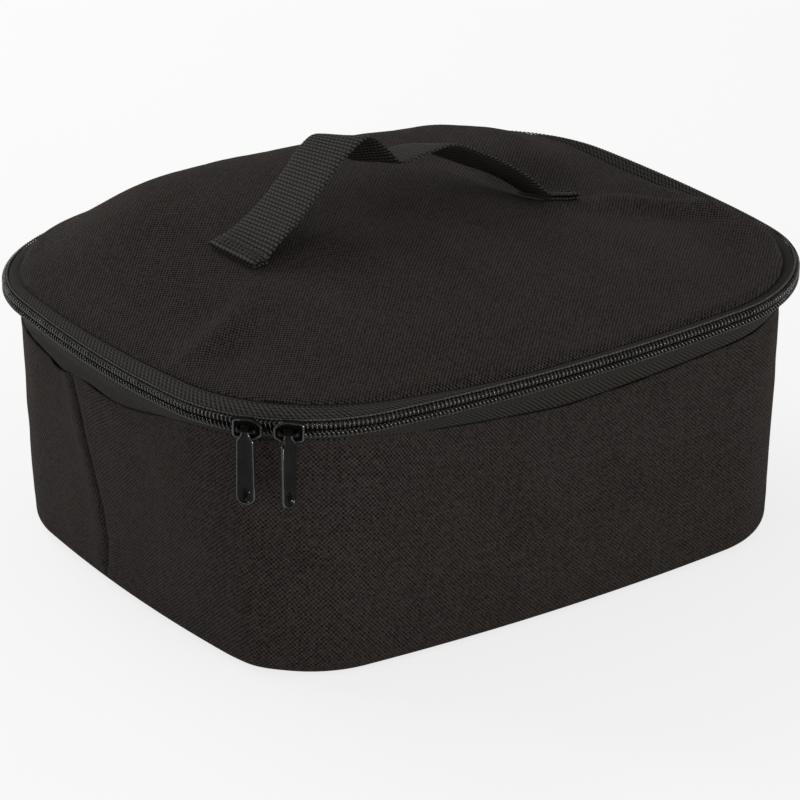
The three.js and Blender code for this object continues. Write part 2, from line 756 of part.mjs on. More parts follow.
piece('front_wall', wallLayer(0, FABRIC, FRONT_SPAN), 'oxford');
piece('back_wall', wallLayer(0, FABRIC, BACK_SPAN), 'oxford');
piece('front_wall_foam', wallLayer(FOAM_DEPTH, WALL_FOAM, FRONT_SPAN), 'foam');
piece('back_wall_foam', wallLayer(FOAM_DEPTH, WALL_FOAM, BACK_SPAN), 'foam');
piece('front_wall_lining', wallLayer(LINING_DEPTH, LINING, FRONT_SPAN), 'lining');
piece('back_wall_lining', wallLayer(LINING_DEPTH, LINING, BACK_SPAN), 'lining');
piece('bottom_panel', plate(BOTTOM_INSET, 0, FABRIC), 'oxford');
piece('bottom_board', plate(BOTTOM_INSET, FOAM_DEPTH, BOARD_TOP), 'board');
piece('bottom_foam', plate(BOTTOM_INSET, BOARD_TOP + GAP, FOAM_DEPTH + WALL_FOAM), 'foam');
piece('bottom_lining', plate(BOTTOM_INSET, LINING_DEPTH, WALL_DEPTH), 'lining');
piece('bottom_binding', bottomBinding(), 'binding');
piece('rim_binding', rimBinding(), 'binding');
piece('zip_tape_lower', lowerBand(TAPE_FACE, TAPE, ZIP_SPAN), 'tape');
piece('zip_coil_lower', coil(-1), 'coil');
piece('hinge_strip_lower', lowerBand(HINGE_FACE, HINGE_STRIP, HINGE_SPAN), 'oxford');

piece('lid_panel', lidLayer(0, FABRIC, 1), 'oxford');
piece('lid_foam', lidLayer(LID_FOAM_DEPTH, LID_FOAM, PADDING_EDGE), 'foam');
piece('lid_lining', lidLayer(LID_LINING_DEPTH, LINING, PADDING_EDGE), 'lining');
piece('lid_binding', lidBinding(), 'binding');
piece('zip_tape_upper', upperBand(TAPE_FACE, TAPE, ZIP_SPAN), 'tape');
piece('zip_coil_upper', coil(1), 'coil');
piece('hinge_strip_upper', upperBand(HINGE_FACE, HINGE_STRIP, HINGE_SPAN), 'oxford');
piece('handle_end_left', handleEnd(STRAP_LEFT, STRAP_LEFT + STRAP_END), 'webbing');
piece('handle_end_right', handleEnd(STRAP_RIGHT - STRAP_END, STRAP_RIGHT), 'webbing');
piece('handle_strap', handleStrap(), 'webbing');

// Both sliders sit on the front left corner's arc, nose to nose
const CORNER = arcsOf(RIM);
for (const [side, at] of [['left', LEFT_SLIDER_AT], ['right', RIGHT_SLIDER_AT]]) {
  const angle = at * DEGREES;
  const place = new THREE.Group();
  place.position.set(
    -CORNER.centreX - RIM_CORNER * Math.cos(angle),
    -CORNER.centreY - RIM_CORNER * Math.sin(angle),
    ZIP_HEIGHT,
  );
  place.rotation.z = Math.PI / 2 + angle;
  carrier.add(place);
  piece(`slider_${side}`, sliderGeometry(side === 'right'), 'enamel', place);
  piece(`pull_${side}`, pullGeometry(), 'enamel', place);
}

export default carrier;
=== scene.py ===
"""Looks of a dark woven casserole carrier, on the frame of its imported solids. Sizes are in millimetres."""

import math

import bpy
import numpy as np
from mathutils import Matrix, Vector, noise


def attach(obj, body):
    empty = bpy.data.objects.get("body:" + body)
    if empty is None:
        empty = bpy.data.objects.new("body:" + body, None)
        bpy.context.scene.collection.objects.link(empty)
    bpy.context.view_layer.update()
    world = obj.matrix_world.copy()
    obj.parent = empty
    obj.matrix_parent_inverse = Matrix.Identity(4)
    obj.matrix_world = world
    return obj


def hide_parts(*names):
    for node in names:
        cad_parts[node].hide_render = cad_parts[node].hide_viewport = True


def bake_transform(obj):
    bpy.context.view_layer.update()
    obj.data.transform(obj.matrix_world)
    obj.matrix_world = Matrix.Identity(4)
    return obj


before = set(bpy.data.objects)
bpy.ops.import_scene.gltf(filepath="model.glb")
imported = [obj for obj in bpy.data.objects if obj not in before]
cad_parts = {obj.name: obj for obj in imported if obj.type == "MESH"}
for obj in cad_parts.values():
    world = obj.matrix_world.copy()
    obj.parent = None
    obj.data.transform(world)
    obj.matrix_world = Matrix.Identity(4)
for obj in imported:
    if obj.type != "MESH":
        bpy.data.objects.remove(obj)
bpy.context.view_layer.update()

MM = 0.001

# Sizes that the solids have
RIM = np.array([376.0, 305.0, 87.0])
FOOT = np.array([334.0, 277.0, 57.0])
END_BOW = 3.7
SIDE_BOW = 5.0
ZIP_HEIGHT = 138.0
COLLAR_START = 5.4
COLLAR_DROP = 15.0
COLLAR_START_INSET = 3.3
COLLAR_INSET = 9.0
WALL_TOP = ZIP_HEIGHT - COLLAR_DROP
LID_SEAM_RISE = 6.0
EDGE_RADIUS = 8.0
FABRIC = 1.2
WALL_FOAM = 4.5
LID_FOAM = 4.0
LINING = 0.8
GAP = 0.3
FOAM_DEPTH = FABRIC + GAP
LINING_DEPTH = FOAM_DEPTH + WALL_FOAM + GAP
WALL_DEPTH = LINING_DEPTH + LINING
BOARD = 1.5
TAPE = 0.9
BINDING = 1.0
BINDING_WIDTH = 9.0
WEBBING = 2.2
STRAP_WIDTH = 32.0
STRAP_LEFT = -105.0
STRAP_RIGHT = 99.0
STRAP_END = 18.0
STRAP_ACROSS = -4.0
STRAP_SEAT = 0.4
PIN_OUT = 5.2
LEFT_SLIDER_AT = 37.4
RIGHT_SLIDER_AT = 50.4

# Columns round an outline: left end, front left corner, front, and on round to the rear left corner
END_STEPS = 40
CORNER_STEPS = 36
SIDE_STEPS = 60
STEPS = [END_STEPS, CORNER_STEPS, SIDE_STEPS, CORNER_STEPS] * 2
PLACES = np.concatenate([k + np.arange(n) / n for k, n in enumerate(STEPS)])
STARTS = np.concatenate([[0], np.cumsum(STEPS)])
COLUMNS = len(PLACES)
SEAM_PLACE = 0.375
LEFT_SEAM = int(SEAM_PLACE * END_STEPS)
RIGHT_SEAM = STARTS[5] - LEFT_SEAM
WALLS = {"front": (LEFT_SEAM, RIGHT_SEAM), "back": (RIGHT_SEAM, LEFT_SEAM)}
HINGE_SPAN = (STARTS[6], STARTS[7])
ZIP_SPAN = (STARTS[7], STARTS[6])
WHOLE_SPAN = (0, COLUMNS - 1)


def arcs_of(plan):
    """Half sizes, radii, a corner's centre and the side arcs' half angles of a bowed outline."""
    half_length, half_width, corner = plan[0] / 2, plan[1] / 2, plan[2]
    end_half, side_half = half_width - corner, half_length - corner
    end_radius = (end_half**2 + END_BOW**2) / (2 * END_BOW)
    side_radius = (side_half**2 + SIDE_BOW**2) / (2 * SIDE_BOW)
    x, y = side_half, end_half
    settle_rounds = 40
    for _ in range(settle_rounds):
        x = half_length - end_radius + math.sqrt((end_radius - corner) ** 2 - y**2)
        y = half_width - side_radius + math.sqrt((side_radius - corner) ** 2 - x**2)
    end_angle = math.asin(y / (end_radius - corner))
    side_angle = math.asin(x / (side_radius - corner))
    return half_length, half_width, end_radius, side_radius, x, y, end_angle, side_angle


def outline(plan, places=PLACES):
    """Points of a bowed, round-cornered outline. A place is a stretch's number plus the share along it."""
    length, width, end_radius, side_radius, x, y, end, side = arcs_of(plan)
    quarter = math.pi / 2
    corner = plan[2]
    stretches = np.array([
        [end_radius - length, 0, end_radius, 2 * quarter - end, 2 * quarter + end],
        [-x, -y, corner, 2 * quarter + end, 3 * quarter - side],
        [0, side_radius - width, side_radius, 3 * quarter - side, 3 * quarter + side],
        [x, -y, corner, 3 * quarter + side, 4 * quarter - end],
        [length - end_radius, 0, end_radius, -end, end],
        [x, y, corner, end, quarter - side],
        [0, width - side_radius, side_radius, quarter - side, quarter + side],
        [-x, y, corner, quarter + side, 2 * quarter - end],
    ])
    which = np.floor(places).astype(int) % len(stretches)
    centre_x, centre_y, radius, start, stop = stretches[which].T
    angle = start + (stop - start) * (places - np.floor(places))
    return np.column_stack([centre_x + radius * np.cos(angle), centre_y + radius * np.sin(angle)])


def inset(plan, distance):
    return plan - np.array([2, 2, 1]) * distance


def unit(vectors):
    return vectors / np.linalg.norm(vectors, axis=-1, keepdims=True)


def closed(line):
    return np.concatenate([line, line[:1]])


def run_along(path):
    """The distance along a path at each of its points."""
    return np.concatenate([[0], np.cumsum(np.linalg.norm(np.diff(path, axis=0), axis=1))])


def points_at(distance, along, line):
    """Points of a line at distances along it."""
    return np.column_stack([np.interp(distance, along, line[:, k]) for k in range(3)])


def at_height(plan, height):
    return np.column_stack([plan, np.broadcast_to(height, len(plan))])


RIM_LINE = outline(RIM)
TOP_LINE = outline(inset(RIM, COLLAR_INSET))
FOOT_LINE = outline(FOOT)
TANGENT = unit(np.roll(RIM_LINE, -1, 0) - np.roll(RIM_LINE, 1, 0))
OUTWARD = np.column_stack([TANGENT[:, 1], -TANGENT[:, 0]])
ALONG = run_along(closed(RIM_LINE))
UP = np.array([0, 0, 1.0])


def smoothstep(t):
    t = np.clip(t, 0, 1)
    return t * t * (3 - 2 * t)


def round_the_rim(stations, spread=6):
    """A smooth value at each column through (place, value) stations, closed on itself."""
    places, values = np.array(stations, float).T
    found = np.interp(PLACES, places, values, period=len(STEPS))
    reach = 3 * spread
    kernel = np.exp(-0.5 * (np.arange(-reach, reach + 1) / spread) ** 2)
    padded = np.concatenate([found[-reach:], found, found[:reach]])
    return np.convolve(padded, kernel / kernel.sum(), "valid")


# How far the walls' cloth stops under the zip, and how the rim droops and bulges
SEAM_DROP = round_the_rim([
    (0, 21.5), (0.18, 24.8), (0.25, 27.8), (0.35, 23), (0.45, 22.1), (0.56, 24.5), (0.69, 21.3), (0.83, 17),
    (0.93, 13.6), (1.03, 10), (1.12, 9.1), (1.28, 9), (1.64, 7.2), (1.9, 7.6), (2.16, 15.7), (2.48, 21),
    (2.72, 19.3), (3, 17), (3.5, 16), (4.2, 17), (5, 18.5), (5.6, 16), (6, 15), (7, 15), (7.5, 17),
    (7.75, 19),
], 2)
DROOP = round_the_rim([
    (0.25, 0), (0.6, -0.8), (0.8, -1.25), (2.1, -1.3), (2.5, -1.7), (2.9, -1.5), (3.3, -0.6), (3.6, 1),
    (4, 1.2), (4.3, -0.6), (4.7, -1.2), (5.1, -1), (5.8, -1), (6.5, -0.8), (7.1, -0.8), (7.45, -1.8),
    (7.85, -0.6),
])
RIM_PUSH = round_the_rim([(0, 0), (3, 0), (3.5, 1.4), (3.8, 1.8), (4.1, 1.6), (4.6, 0.3), (5, 0), (7.5, 0)])
PUSH_DEPTH = 14.0

# How high over the zip and how far inside it the lid's edge is, and how high it rolls
SEAM_RISE = round_the_rim([
    (0, 6), (0.3, 6.3), (0.75, 8.3), (1.25, 9.4), (1.5, 9.4), (1.9, 8.8), (2.1, 6.6), (2.28, 4.8), (2.5, 5.2),
    (3.3, 5), (3.9, 4.6), (4.2, 2), (4.4, -2.6), (4.9, -3.2), (5.12, 0), (5.4, 3.6), (6, 5), (7, 5.2),
    (7.6, 5),
])
SEAM_INSET = round_the_rim([
    (0, 10), (0.3, 10.5), (0.75, 12), (1.25, 13), (1.5, 13), (1.9, 12), (2.1, 9.5), (2.28, 7), (2.5, 7.6),
    (3.3, 7.2), (4, 8.3), (4.45, 9.5), (4.9, 9.5), (5.2, 8.3), (7, 8.3), (7.5, 9),
])
EDGE_ROLL = round_the_rim([
    (0, 1.2), (1.2, 0.6), (1.7, 0.6), (2.3, 1.2), (2.8, 1), (3.3, 3), (3.7, 6), (4.25, 6.5), (4.5, 4),
    (5.1, 3.6), (5.8, 2), (6.5, 1.5), (7.1, 3.6), (7.6, 5),
])


def rim_loop(distance, rise):
    """A loop this far inside the zip's face and this far over its middle line."""
    push = RIM_PUSH * smoothstep(1 + np.minimum(rise, 0) / PUSH_DEPTH) - distance
    return at_height(RIM_LINE + push[:, None] * OUTWARD, ZIP_HEIGHT + DROOP + rise)


def collar_inset(drop):
    """How far inside the zip's face the collar stands, this far under the zip."""
    slope = (COLLAR_INSET - COLLAR_START_INSET) / (COLLAR_DROP - COLLAR_START)
    return COLLAR_START_INSET + (np.clip(drop, COLLAR_START, COLLAR_DROP) - COLLAR_START) * slope


def wall_loop(depth, height, foot=FOOT_LINE, top=TOP_LINE):
    """A loop this deep inside the walls' face, which flares out to the zip over the walls' own top."""
    height = np.broadcast_to(height, COLUMNS).astype(float)
    share = np.minimum(height / WALL_TOP, 1)[:, None]
    flare = COLLAR_INSET - collar_inset(ZIP_HEIGHT - height)
    return at_height(foot + (top - foot) * share + (flare - depth)[:, None] * OUTWARD, height)


def pushed(row, distance):
    """A loop moved outwards in plan, by one distance or by one for each column."""
    return at_height(row[:, :2] + np.broadcast_to(distance, COLUMNS)[:, None] * OUTWARD, row[:, 2])


def ripple(points, size, seed):
    """Smooth noise, from -1 to 1, at points in millimetres."""
    shift = Vector((seed * 7.3, seed * 3.1, seed * 5.7))
    return np.array([noise.noise(Vector(p) / size + shift) for p in points])


# Materials

def add(tree, kind, values=None, **settings):
    """A node with its settings, and its inputs as constants or linked sockets."""
    made = tree.nodes.new(kind)
    for key, value in settings.items():
        setattr(made, key, value)
    for key, value in (values or {}).items():
        if isinstance(value, bpy.types.NodeSocket):
            tree.links.new(value, made.inputs[key])
        else:
            made.inputs[key].default_value = value
    return made


def material(name, space="Object"):
    """A new material with its node tree, its shader and a coordinate in metres."""
    made = bpy.data.materials.new(name)
    made.use_nodes = True
    tree = made.node_tree
    tree.nodes.clear()
    shader = add(tree, "ShaderNodeBsdfPrincipled")
    add(tree, "ShaderNodeOutputMaterial", {0: shader.outputs[0]})
    return made, tree, shader, add(tree, "ShaderNodeTexCoord").outputs[space]


def maths(tree, operation, a, b=0.0, c=0.0):
    return add(tree, "ShaderNodeMath", {0: a, 1: b, 2: c}, operation=operation).outputs[0]


def moved(tree, operation, vector, key, by):
    return add(tree, "ShaderNodeVectorMath", {0: vector, key: by}, operation=operation).outputs[0]


def axes(tree, vector):
    """The first two coordinates of a vector."""
    parts = add(tree, "ShaderNodeSeparateXYZ", {0: vector}).outputs
    return parts[0], parts[1]


def swayed(tree, base, value, share, middle=0.5):
    """A base value moved by a share of how far another value is from its middle."""
    return maths(tree, "MULTIPLY_ADD", maths(tree, "SUBTRACT", value, middle), share, base)


def wave(tree, coordinate, pitch):
    """A sine from -1 to 1 along a coordinate."""
    return maths(tree, "SINE", maths(tree, "MULTIPLY", coordinate, 2 * math.pi / pitch))


def bands(tree, coordinate, pitch):
    """Round ridges across a coordinate, one every pitch, from 0 to 1."""
    return maths(tree, "MULTIPLY_ADD", wave(tree, coordinate, pitch), 0.5, 0.5)


def step_number(tree, coordinate, pitch):
    return maths(tree, "FLOOR", maths(tree, "DIVIDE", coordinate, pitch))


def chance(tree, x, y):
    """A number from 0 to 1, drawn anew for each whole x and y."""
    spot = add(tree, "ShaderNodeCombineXYZ", {0: x, 1: y}).outputs[0]
    return add(tree, "ShaderNodeTexWhiteNoise", {"Vector": spot}, noise_dimensions="2D").outputs["Value"]


def speckle(tree, vector, size, detail=2.0, rough=0.5):
    """Cloudy noise from 0 to 1, with clouds of about this size in millimetres."""
    values = {"Vector": vector, "Scale": 1 / (size * MM), "Detail": detail, "Roughness": rough}
    return add(tree, "ShaderNodeTexNoise", values).outputs["Fac"]


def finish_with(tree, shader, colour, relief, rough, gloss=0.5):
    """Sets a shader's looks: its colour by (value, low, high, dark, light), its relief by (height, depth in
    millimetres) and its roughness by (value, least, most)."""
    value, low, high, dark, light = colour
    blend = add(tree, "ShaderNodeValToRGB", {"Fac": value})
    stops = blend.color_ramp.elements
    stops[0].position, stops[1].position = low, high
    stops[0].color, stops[1].color = (*dark, 1), (*light, 1)
    tree.links.new(blend.outputs["Color"], shader.inputs["Base Color"])
    bump = add(tree, "ShaderNodeBump", {"Height": relief[0], "Distance": relief[1] * MM, "Strength": 1.0})
    tree.links.new(bump.outputs[0], shader.inputs["Normal"])
    value, least, most = rough
    tree.links.new(maths(tree, "MULTIPLY_ADD", value, most - least, least), shader.inputs["Roughness"])
    shader.inputs["Specular IOR Level"].default_value = gloss


CLOTH_DARK = (0.003, 0.0024, 0.002)
CLOTH_LIGHT = (0.047, 0.0385, 0.0355)
THREAD_WANDER = 0.9
WANDER_SCALE = 140.0


def oxford_material(name, spacing, strength, mottle, sheen):
    """Basket-woven cloth, whose threads pass over and under like a draughtboard, no two quite alike."""
    made, tree, shader, uv = material(name, "UV")
    wander = add(tree, "ShaderNodeTexNoise", {"Vector": uv, "Scale": WANDER_SCALE, "Detail": 2.0})
    drift = moved(tree, "SUBTRACT", wander.outputs["Color"], 1, (0.5, 0.5, 0.5))
    drift = moved(tree, "SCALE", drift, "Scale", THREAD_WANDER * MM)
    warp, weft = axes(tree, moved(tree, "ADD", uv, 1, drift))
    pitch = spacing * MM
    over = maths(tree, "MULTIPLY", wave(tree, warp, 2 * pitch), wave(tree, weft, 2 * pitch))
    warp_number, weft_number = step_number(tree, warp, pitch), step_number(tree, weft, pitch)
    cell = chance(tree, warp_number, weft_number)
    yarn = maths(tree, "ADD", chance(tree, warp_number, 0.5), chance(tree, 0.5, weft_number))
    fleck = speckle(tree, uv, 0.6, 2.0, 0.65)
    weave = swayed(tree, maths(tree, "MULTIPLY_ADD", over, strength, 0.42), cell, mottle)
    weave = swayed(tree, swayed(tree, weave, yarn, 0.04, 1.0), fleck, 0.9)
    tone = swayed(tree, weave, speckle(tree, uv, 34, 3.0), 0.14)
    colour = (tone, 0.05, 0.85, CLOTH_DARK, CLOTH_LIGHT)
    finish_with(tree, shader, colour, (weave, 0.3), (fleck, 0.72, 0.95), 0.05)
    shader.inputs["Sheen Weight"].default_value = sheen
    shader.inputs["Sheen Roughness"].default_value = 0.45
    shader.inputs["Sheen Tint"].default_value = (0.95, 0.87, 0.82, 1)
    return made


TAPE_FOLD = 9
TAPE_SLANT = 1.35
TAPE_RIB = 2.9
TAPE_THREAD = 1.3


def tape_material(name, ribs, light):
    """Woven zip tape, a herringbone that turns over halfway across it."""
    made, tree, shader, uv = material(name, "UV")
    along, across = axes(tree, uv)
    fold = maths(tree, "PINGPONG", across, TAPE_FOLD * MM)
    rib = bands(tree, maths(tree, "MULTIPLY_ADD", fold, TAPE_SLANT, along), TAPE_RIB * MM)
    edge = bands(tree, across, TAPE_THREAD * MM)
    fleck = speckle(tree, uv, 0.55, 2.0, 0.65)
    weave = maths(tree, "MULTIPLY_ADD", edge, 0.14, maths(tree, "MULTIPLY", rib, ribs))
    weave = swayed(tree, weave, fleck, 1.2)
    colour = (weave, -0.05, 0.8, (0.0015, 0.0013, 0.001), light)
    finish_with(tree, shader, colour, (weave, 0.25), (fleck, 0.65, 0.9), 0.06)
    shader.inputs["Sheen Weight"].default_value = 0.03
    return made


RIB_PITCH = 2.3
BEAD_PITCH = 2.4
RIB_SHARE = 0.58


def webbing_material():
    """Webbing with ribs across it, each a row of beads that steps by half a bead from rib to rib."""
    made, tree, shader, uv = material("webbing", "UV")
    along, across = axes(tree, uv)
    rib = bands(tree, along, RIB_PITCH * MM)
    number = maths(tree, "FLOOR", maths(tree, "MULTIPLY_ADD", along, 1 / (RIB_PITCH * MM), 0.25))
    stagger = maths(tree, "MULTIPLY_ADD", number, BEAD_PITCH / 2 * MM, across)
    bead = bands(tree, stagger, BEAD_PITCH * MM)
    fleck = speckle(tree, uv, 0.5, 2.0, 0.6)
    relief = maths(tree, "MULTIPLY_ADD", rib, RIB_SHARE, maths(tree, "MULTIPLY", bead, 1 - RIB_SHARE))
    tone = swayed(tree, relief, fleck, 0.5)
    colour = (tone, 0.2, 0.86, (0.0012, 0.0011, 0.0009), (0.061, 0.0565, 0.051))
    finish_with(tree, shader, colour, (tone, 0.5), (fleck, 0.45, 0.7), 0.12)
    return made


GROSGRAIN_RIB = 1.1
FILM_GRID = 2.2
FOAM_CELLS = 1500.0


def binding_material():
    """Grosgrain binding with fine ribs across it."""
    made, tree, shader, uv = material("binding", "UV")
    rib = bands(tree, axes(tree, uv)[0], GROSGRAIN_RIB * MM)
    fleck = speckle(tree, uv, 0.5)
    tone = maths(tree, "MULTIPLY_ADD", fleck, 0.4, maths(tree, "MULTIPLY", rib, 0.6))
    colour = (tone, 0.1, 0.9, (0.005, 0.005, 0.0052), (0.024, 0.024, 0.025))
    finish_with(tree, shader, colour, (tone, 0.25), (fleck, 0.6, 0.85), 0.25)
    return made


def film_material():
    """Heat-seal lining film, with soft creases and a faint pressed grid."""
    made, tree, shader, uv = material("lining", "UV")
    grid = maths(tree, "MAXIMUM", *[bands(tree, axis, FILM_GRID * MM) for axis in axes(tree, uv)])
    crease = speckle(tree, uv, 22, 4.0, 0.6)
    height = maths(tree, "MULTIPLY_ADD", grid, 0.12, maths(tree, "MULTIPLY", crease, 2.2))
    colour = (crease, 0.3, 0.7, (0.36, 0.37, 0.385), (0.5, 0.51, 0.53))
    finish_with(tree, shader, colour, (height, 0.6), (speckle(tree, uv, 3, 3.0), 0.22, 0.42))
    shader.inputs["Metallic"].default_value = 0.35
    return made


def foam_material():
    """Pale foam with fine open cells."""
    made, tree, shader, spot = material("foam")
    cells = add(tree, "ShaderNodeTexVoronoi", {"Vector": spot, "Scale": FOAM_CELLS}).outputs["Distance"]
    tint = speckle(tree, spot, 12)
    colour = (tint, 0.3, 0.7, (0.6, 0.59, 0.56), (0.74, 0.73, 0.7))
    finish_with(tree, shader, colour, (cells, 0.2), (tint, 0.9, 1.0))
    return made


def board_material():
    """Grained plastic board."""
    made, tree, shader, spot = material("board")
    grain = speckle(tree, spot, 1.4, 4.0, 0.6)
    colour = (speckle(tree, spot, 40), 0.3, 0.7, (0.075, 0.075, 0.083), (0.1, 0.1, 0.11))
    finish_with(tree, shader, colour, (grain, 0.1), (grain, 0.5, 0.75))
    return made


def plain_material(name, dark, light, stain, grain, depth, rough, gloss):
    """A stuff with stains, by (size, detail, low, high), and with a fine grain, by (size, detail)."""
    made, tree, shader, spot = material(name)
    size, detail, low, high = stain
    stains = speckle(tree, spot, size, detail)
    relief = (speckle(tree, spot, *grain), depth)
    finish_with(tree, shader, (stains, low, high, dark, light), relief, (stains, *rough), gloss)
    return made


COIL = {"stain": (6, 3.0, 0.35, 0.7), "grain": (0.5, 2.0), "depth": 0.03, "rough": (0.12, 0.22), "gloss": 0.9}
CAST = {"stain": (5, 3.0, 0.4, 0.75), "grain": (1.6, 2.0), "depth": 0.03, "rough": (0.07, 0.16)}
DULL = {"stain": (0.8, 3.0, 0.4, 0.8), "grain": (0.8, 3.0), "depth": 0.03, "rough": (0.5, 0.8), "gloss": 0.05}
SPUN = {"stain": (0.5, 2.0, 0.3, 0.7), "grain": (0.5, 2.0), "depth": 0.1, "rough": (0.5, 0.75), "gloss": 0.3}

# Each stuff is a material and the slot that its pieces have
OXFORD = (oxford_material("oxford", 1.13, 0.34, 0.3, 0.03), "oxford")
LID_OXFORD = (oxford_material("lid_oxford", 1.06, 0.62, 0.42, 0.045), "oxford")
LOWER_TAPE = (tape_material("zip_tape", 0.5, (0.047, 0.0428, 0.036)), "zip_tape")
# The tape over the zip is a lit copy of the tape under it, painted more than twice as light, as painted light
# on its upward face.
UPPER_TAPE_PAINTED_LIT = (tape_material("upper_zip_tape_painted_light", 0.27, (0.11, 0.102, 0.093)), "zip_tape")
WEBBING_CLOTH = (webbing_material(), "webbing")
GROSGRAIN = (binding_material(), "binding")
FILM = (film_material(), "lining")
FOAM = (foam_material(), "foam")
LOWER_COIL = (
    plain_material("zip_coil", (0.006, 0.0056, 0.0048), (0.014, 0.0133, 0.0118), **COIL), "zip_coil")
# The coil over the zip is a lit copy of the coil under it, painted several times as light, as painted
# highlights on its upper row.
UPPER_COIL_PAINTED_LIT = (
    plain_material("upper_zip_coil_painted_light", (0.02, 0.019, 0.017), (0.055, 0.053, 0.048), **COIL), "zip_coil")
ENAMEL = (
    plain_material("enamel", (0.003, 0.0029, 0.0028), (0.007, 0.0068, 0.0064), gloss=0.15, **CAST), "enamel")
# A lighter and glossier enamel for rim bevels, painted light as highlights on them.
ENAMEL_PAINTED_HIGHLIGHT = plain_material("rim_painted_highlight", (0.012, 0.012, 0.0115), (0.05, 0.049, 0.047), gloss=0.9, **CAST)
# Wells, holes and the barrel are painted darker and duller than the enamel, as painted shade inside them.
HOLLOW_PAINTED_SHADE = plain_material("hollow", (0.0012, 0.0012, 0.001), (0.005, 0.0047, 0.004), **DULL)
THREAD = plain_material("thread", (0.008, 0.008, 0.008), (0.022, 0.021, 0.02), **SPUN)
# The zip's sewing thread is painted several times as light as the other thread, as painted highlights on its
# stitches.
THREAD_PAINTED_HIGHLIGHT = plain_material("thread_painted_highlight", (0.03, 0.028, 0.024), (0.12, 0.115, 0.104), **SPUN)
BOARD_PLASTIC = board_material()


# Meshes

def mesh_piece(name, points, faces, uvs, stuff, body, *nodes):
    """A smooth piece that rides on a body and stands for the named solids."""
    mesh = bpy.data.meshes.new(name)
    mesh.from_pydata((np.asarray(points) * MM).tolist(), [], [list(f) for f in faces])
    if uvs is not None:
        layer = mesh.uv_layers.new(name="UVMap")
        layer.data.foreach_set("uv", (np.asarray(uvs, float) * MM).ravel())
    mesh.polygons.foreach_set("use_smooth", [True] * len(mesh.polygons))
    cover, slot = stuff
    mesh.materials.append(cover)
    mesh.update()
    piece = bpy.data.objects.new(name, mesh)
    bpy.context.scene.collection.objects.link(piece)
    if body:
        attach(piece, body)
    if nodes:
        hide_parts(*nodes)
    return piece


def loft(rows, closed_rows=False, along=None, flip=False):
    """Points, quads and corner UVs of a surface through rows of points."""
    rows = np.asarray(rows, float)
    count, width = rows.shape[:2]
    if along is None:
        along = np.arange(width + 1.0)
    up = np.concatenate([[0], np.cumsum(np.linalg.norm(np.diff(rows, axis=0), axis=2).mean(1))])
    columns = np.arange(width if closed_rows else width - 1)
    row, column = [grid.ravel() for grid in np.meshgrid(np.arange(count - 1), columns, indexing="ij")]
    a, b, after = row * width, (row + 1) * width, (column + 1) % width
    faces = np.column_stack([a + column, a + after, b + after, b + column])
    left, right, low, high = along[column], along[column + 1], up[row], up[row + 1]
    uvs = np.column_stack([left, low, right, low, right, high, left, high]).reshape(-1, 4, 2)
    if flip:
        faces, uvs = faces[:, ::-1], uvs[:, ::-1]
    return rows.reshape(-1, 3), faces, uvs.reshape(-1, 2)


def ringed(rings, ends=2):
    """Points and faces through closed rings, with none, the first, or the first and last filled in."""
    points, faces, _ = loft(rings, True)
    count = len(rings[0])
    fills = [list(range(count))[::-1], list(range(len(points) - count, len(points)))]
    return points, faces.tolist() + fills[:ends]


def columns_of(begin, end):
    """Column numbers from one column to another, both ends included, which may go on past the last one."""
    return np.arange(begin, end + 1 + (COLUMNS if end < begin else 0))


def span_of(rows, span):
    """The columns of closed loops over a span, and the distance along the rim at each."""
    pick = columns_of(*span)
    along = np.where(pick < COLUMNS, ALONG[pick % COLUMNS], ALONG[-1] + ALONG[pick % COLUMNS])
    return [row[pick % COLUMNS] for row in rows], np.append(along, along[-1])


def thicken(piece, thickness):
    layer = piece.modifiers.new("thickness", "SOLIDIFY")
    layer.thickness = thickness * MM
    layer.offset = -1
    return piece


FAN = 0.105


def fanned(uvs, span, along):
    """Corner UVs of a tapered wall as they lie in its flat cut, which fans out to its top."""
    pick = columns_of(*span) % COLUMNS
    heading = np.unwrap(np.arctan2(TANGENT[pick, 1], TANGENT[pick, 0]))
    turn = -FAN * (heading - heading[len(pick) // 2])
    steps = np.diff(run_along(FOOT_LINE[pick]))
    path = np.cumsum(steps[:, None] * np.column_stack([np.cos(turn[1:]), np.sin(turn[1:])]), axis=0)
    path = np.concatenate([[[0, 0]], path])
    x, y, lean = [np.interp(uvs[:, 0], along[:-1], values) for values in (path[:, 0], path[:, 1], turn)]
    return np.column_stack([x - uvs[:, 1] * np.sin(lean), y + uvs[:, 1] * np.cos(lean)])


def strip(name, rows, span, thickness, stuff, body, *nodes, flip=False, fan=False):
    """A sheet through loops, over a span of columns or all round, as thick as it says."""
    if span:
        rows, along = span_of(rows, span)
        points, faces, uvs = loft(rows, False, along, flip)
        if fan:
            uvs = fanned(uvs, span, along)
    else:
        points, faces, uvs = loft(rows, True, ALONG, flip)
    return thicken(mesh_piece(name, points, faces, uvs, stuff, body, *nodes), thickness)


def sealed(points, faces, uvs, width):
    """A loft whose last row is its first, joined up there and filled in at its two ends."""
    points = points[:-width]
    first = list(range(0, len(points), width))
    ends = [first, [i + width - 1 for i in reversed(first)]]
    faces = [[i % len(points) for i in face] for face in faces] + ends
    return points, faces, np.concatenate([uvs, np.zeros((2 * len(first), 2))])


def closed_layer(name, outside, inside, span, stuff, body, *nodes):
    """A closed pad between two faces that have the same rows."""
    rows, along = span_of(list(outside) + list(inside)[::-1], span)
    rows.append(rows[0])
    return mesh_piece(name, *sealed(*loft(rows, False, along), len(rows[0])), stuff, body, *nodes)


def from_above(points, faces):
    """Points and faces with the UVs that they have in plan."""
    return points, faces, np.concatenate([points[f][:, :2] for f in faces])


def joined(parts):
    """One set of points and faces from several."""
    points, faces, total = [], [], 0
    for p, f in parts:
        points.append(np.asarray(p, float))
        faces.extend([[i + total for i in face] for face in f])
        total += len(p)
    return np.concatenate(points), faces


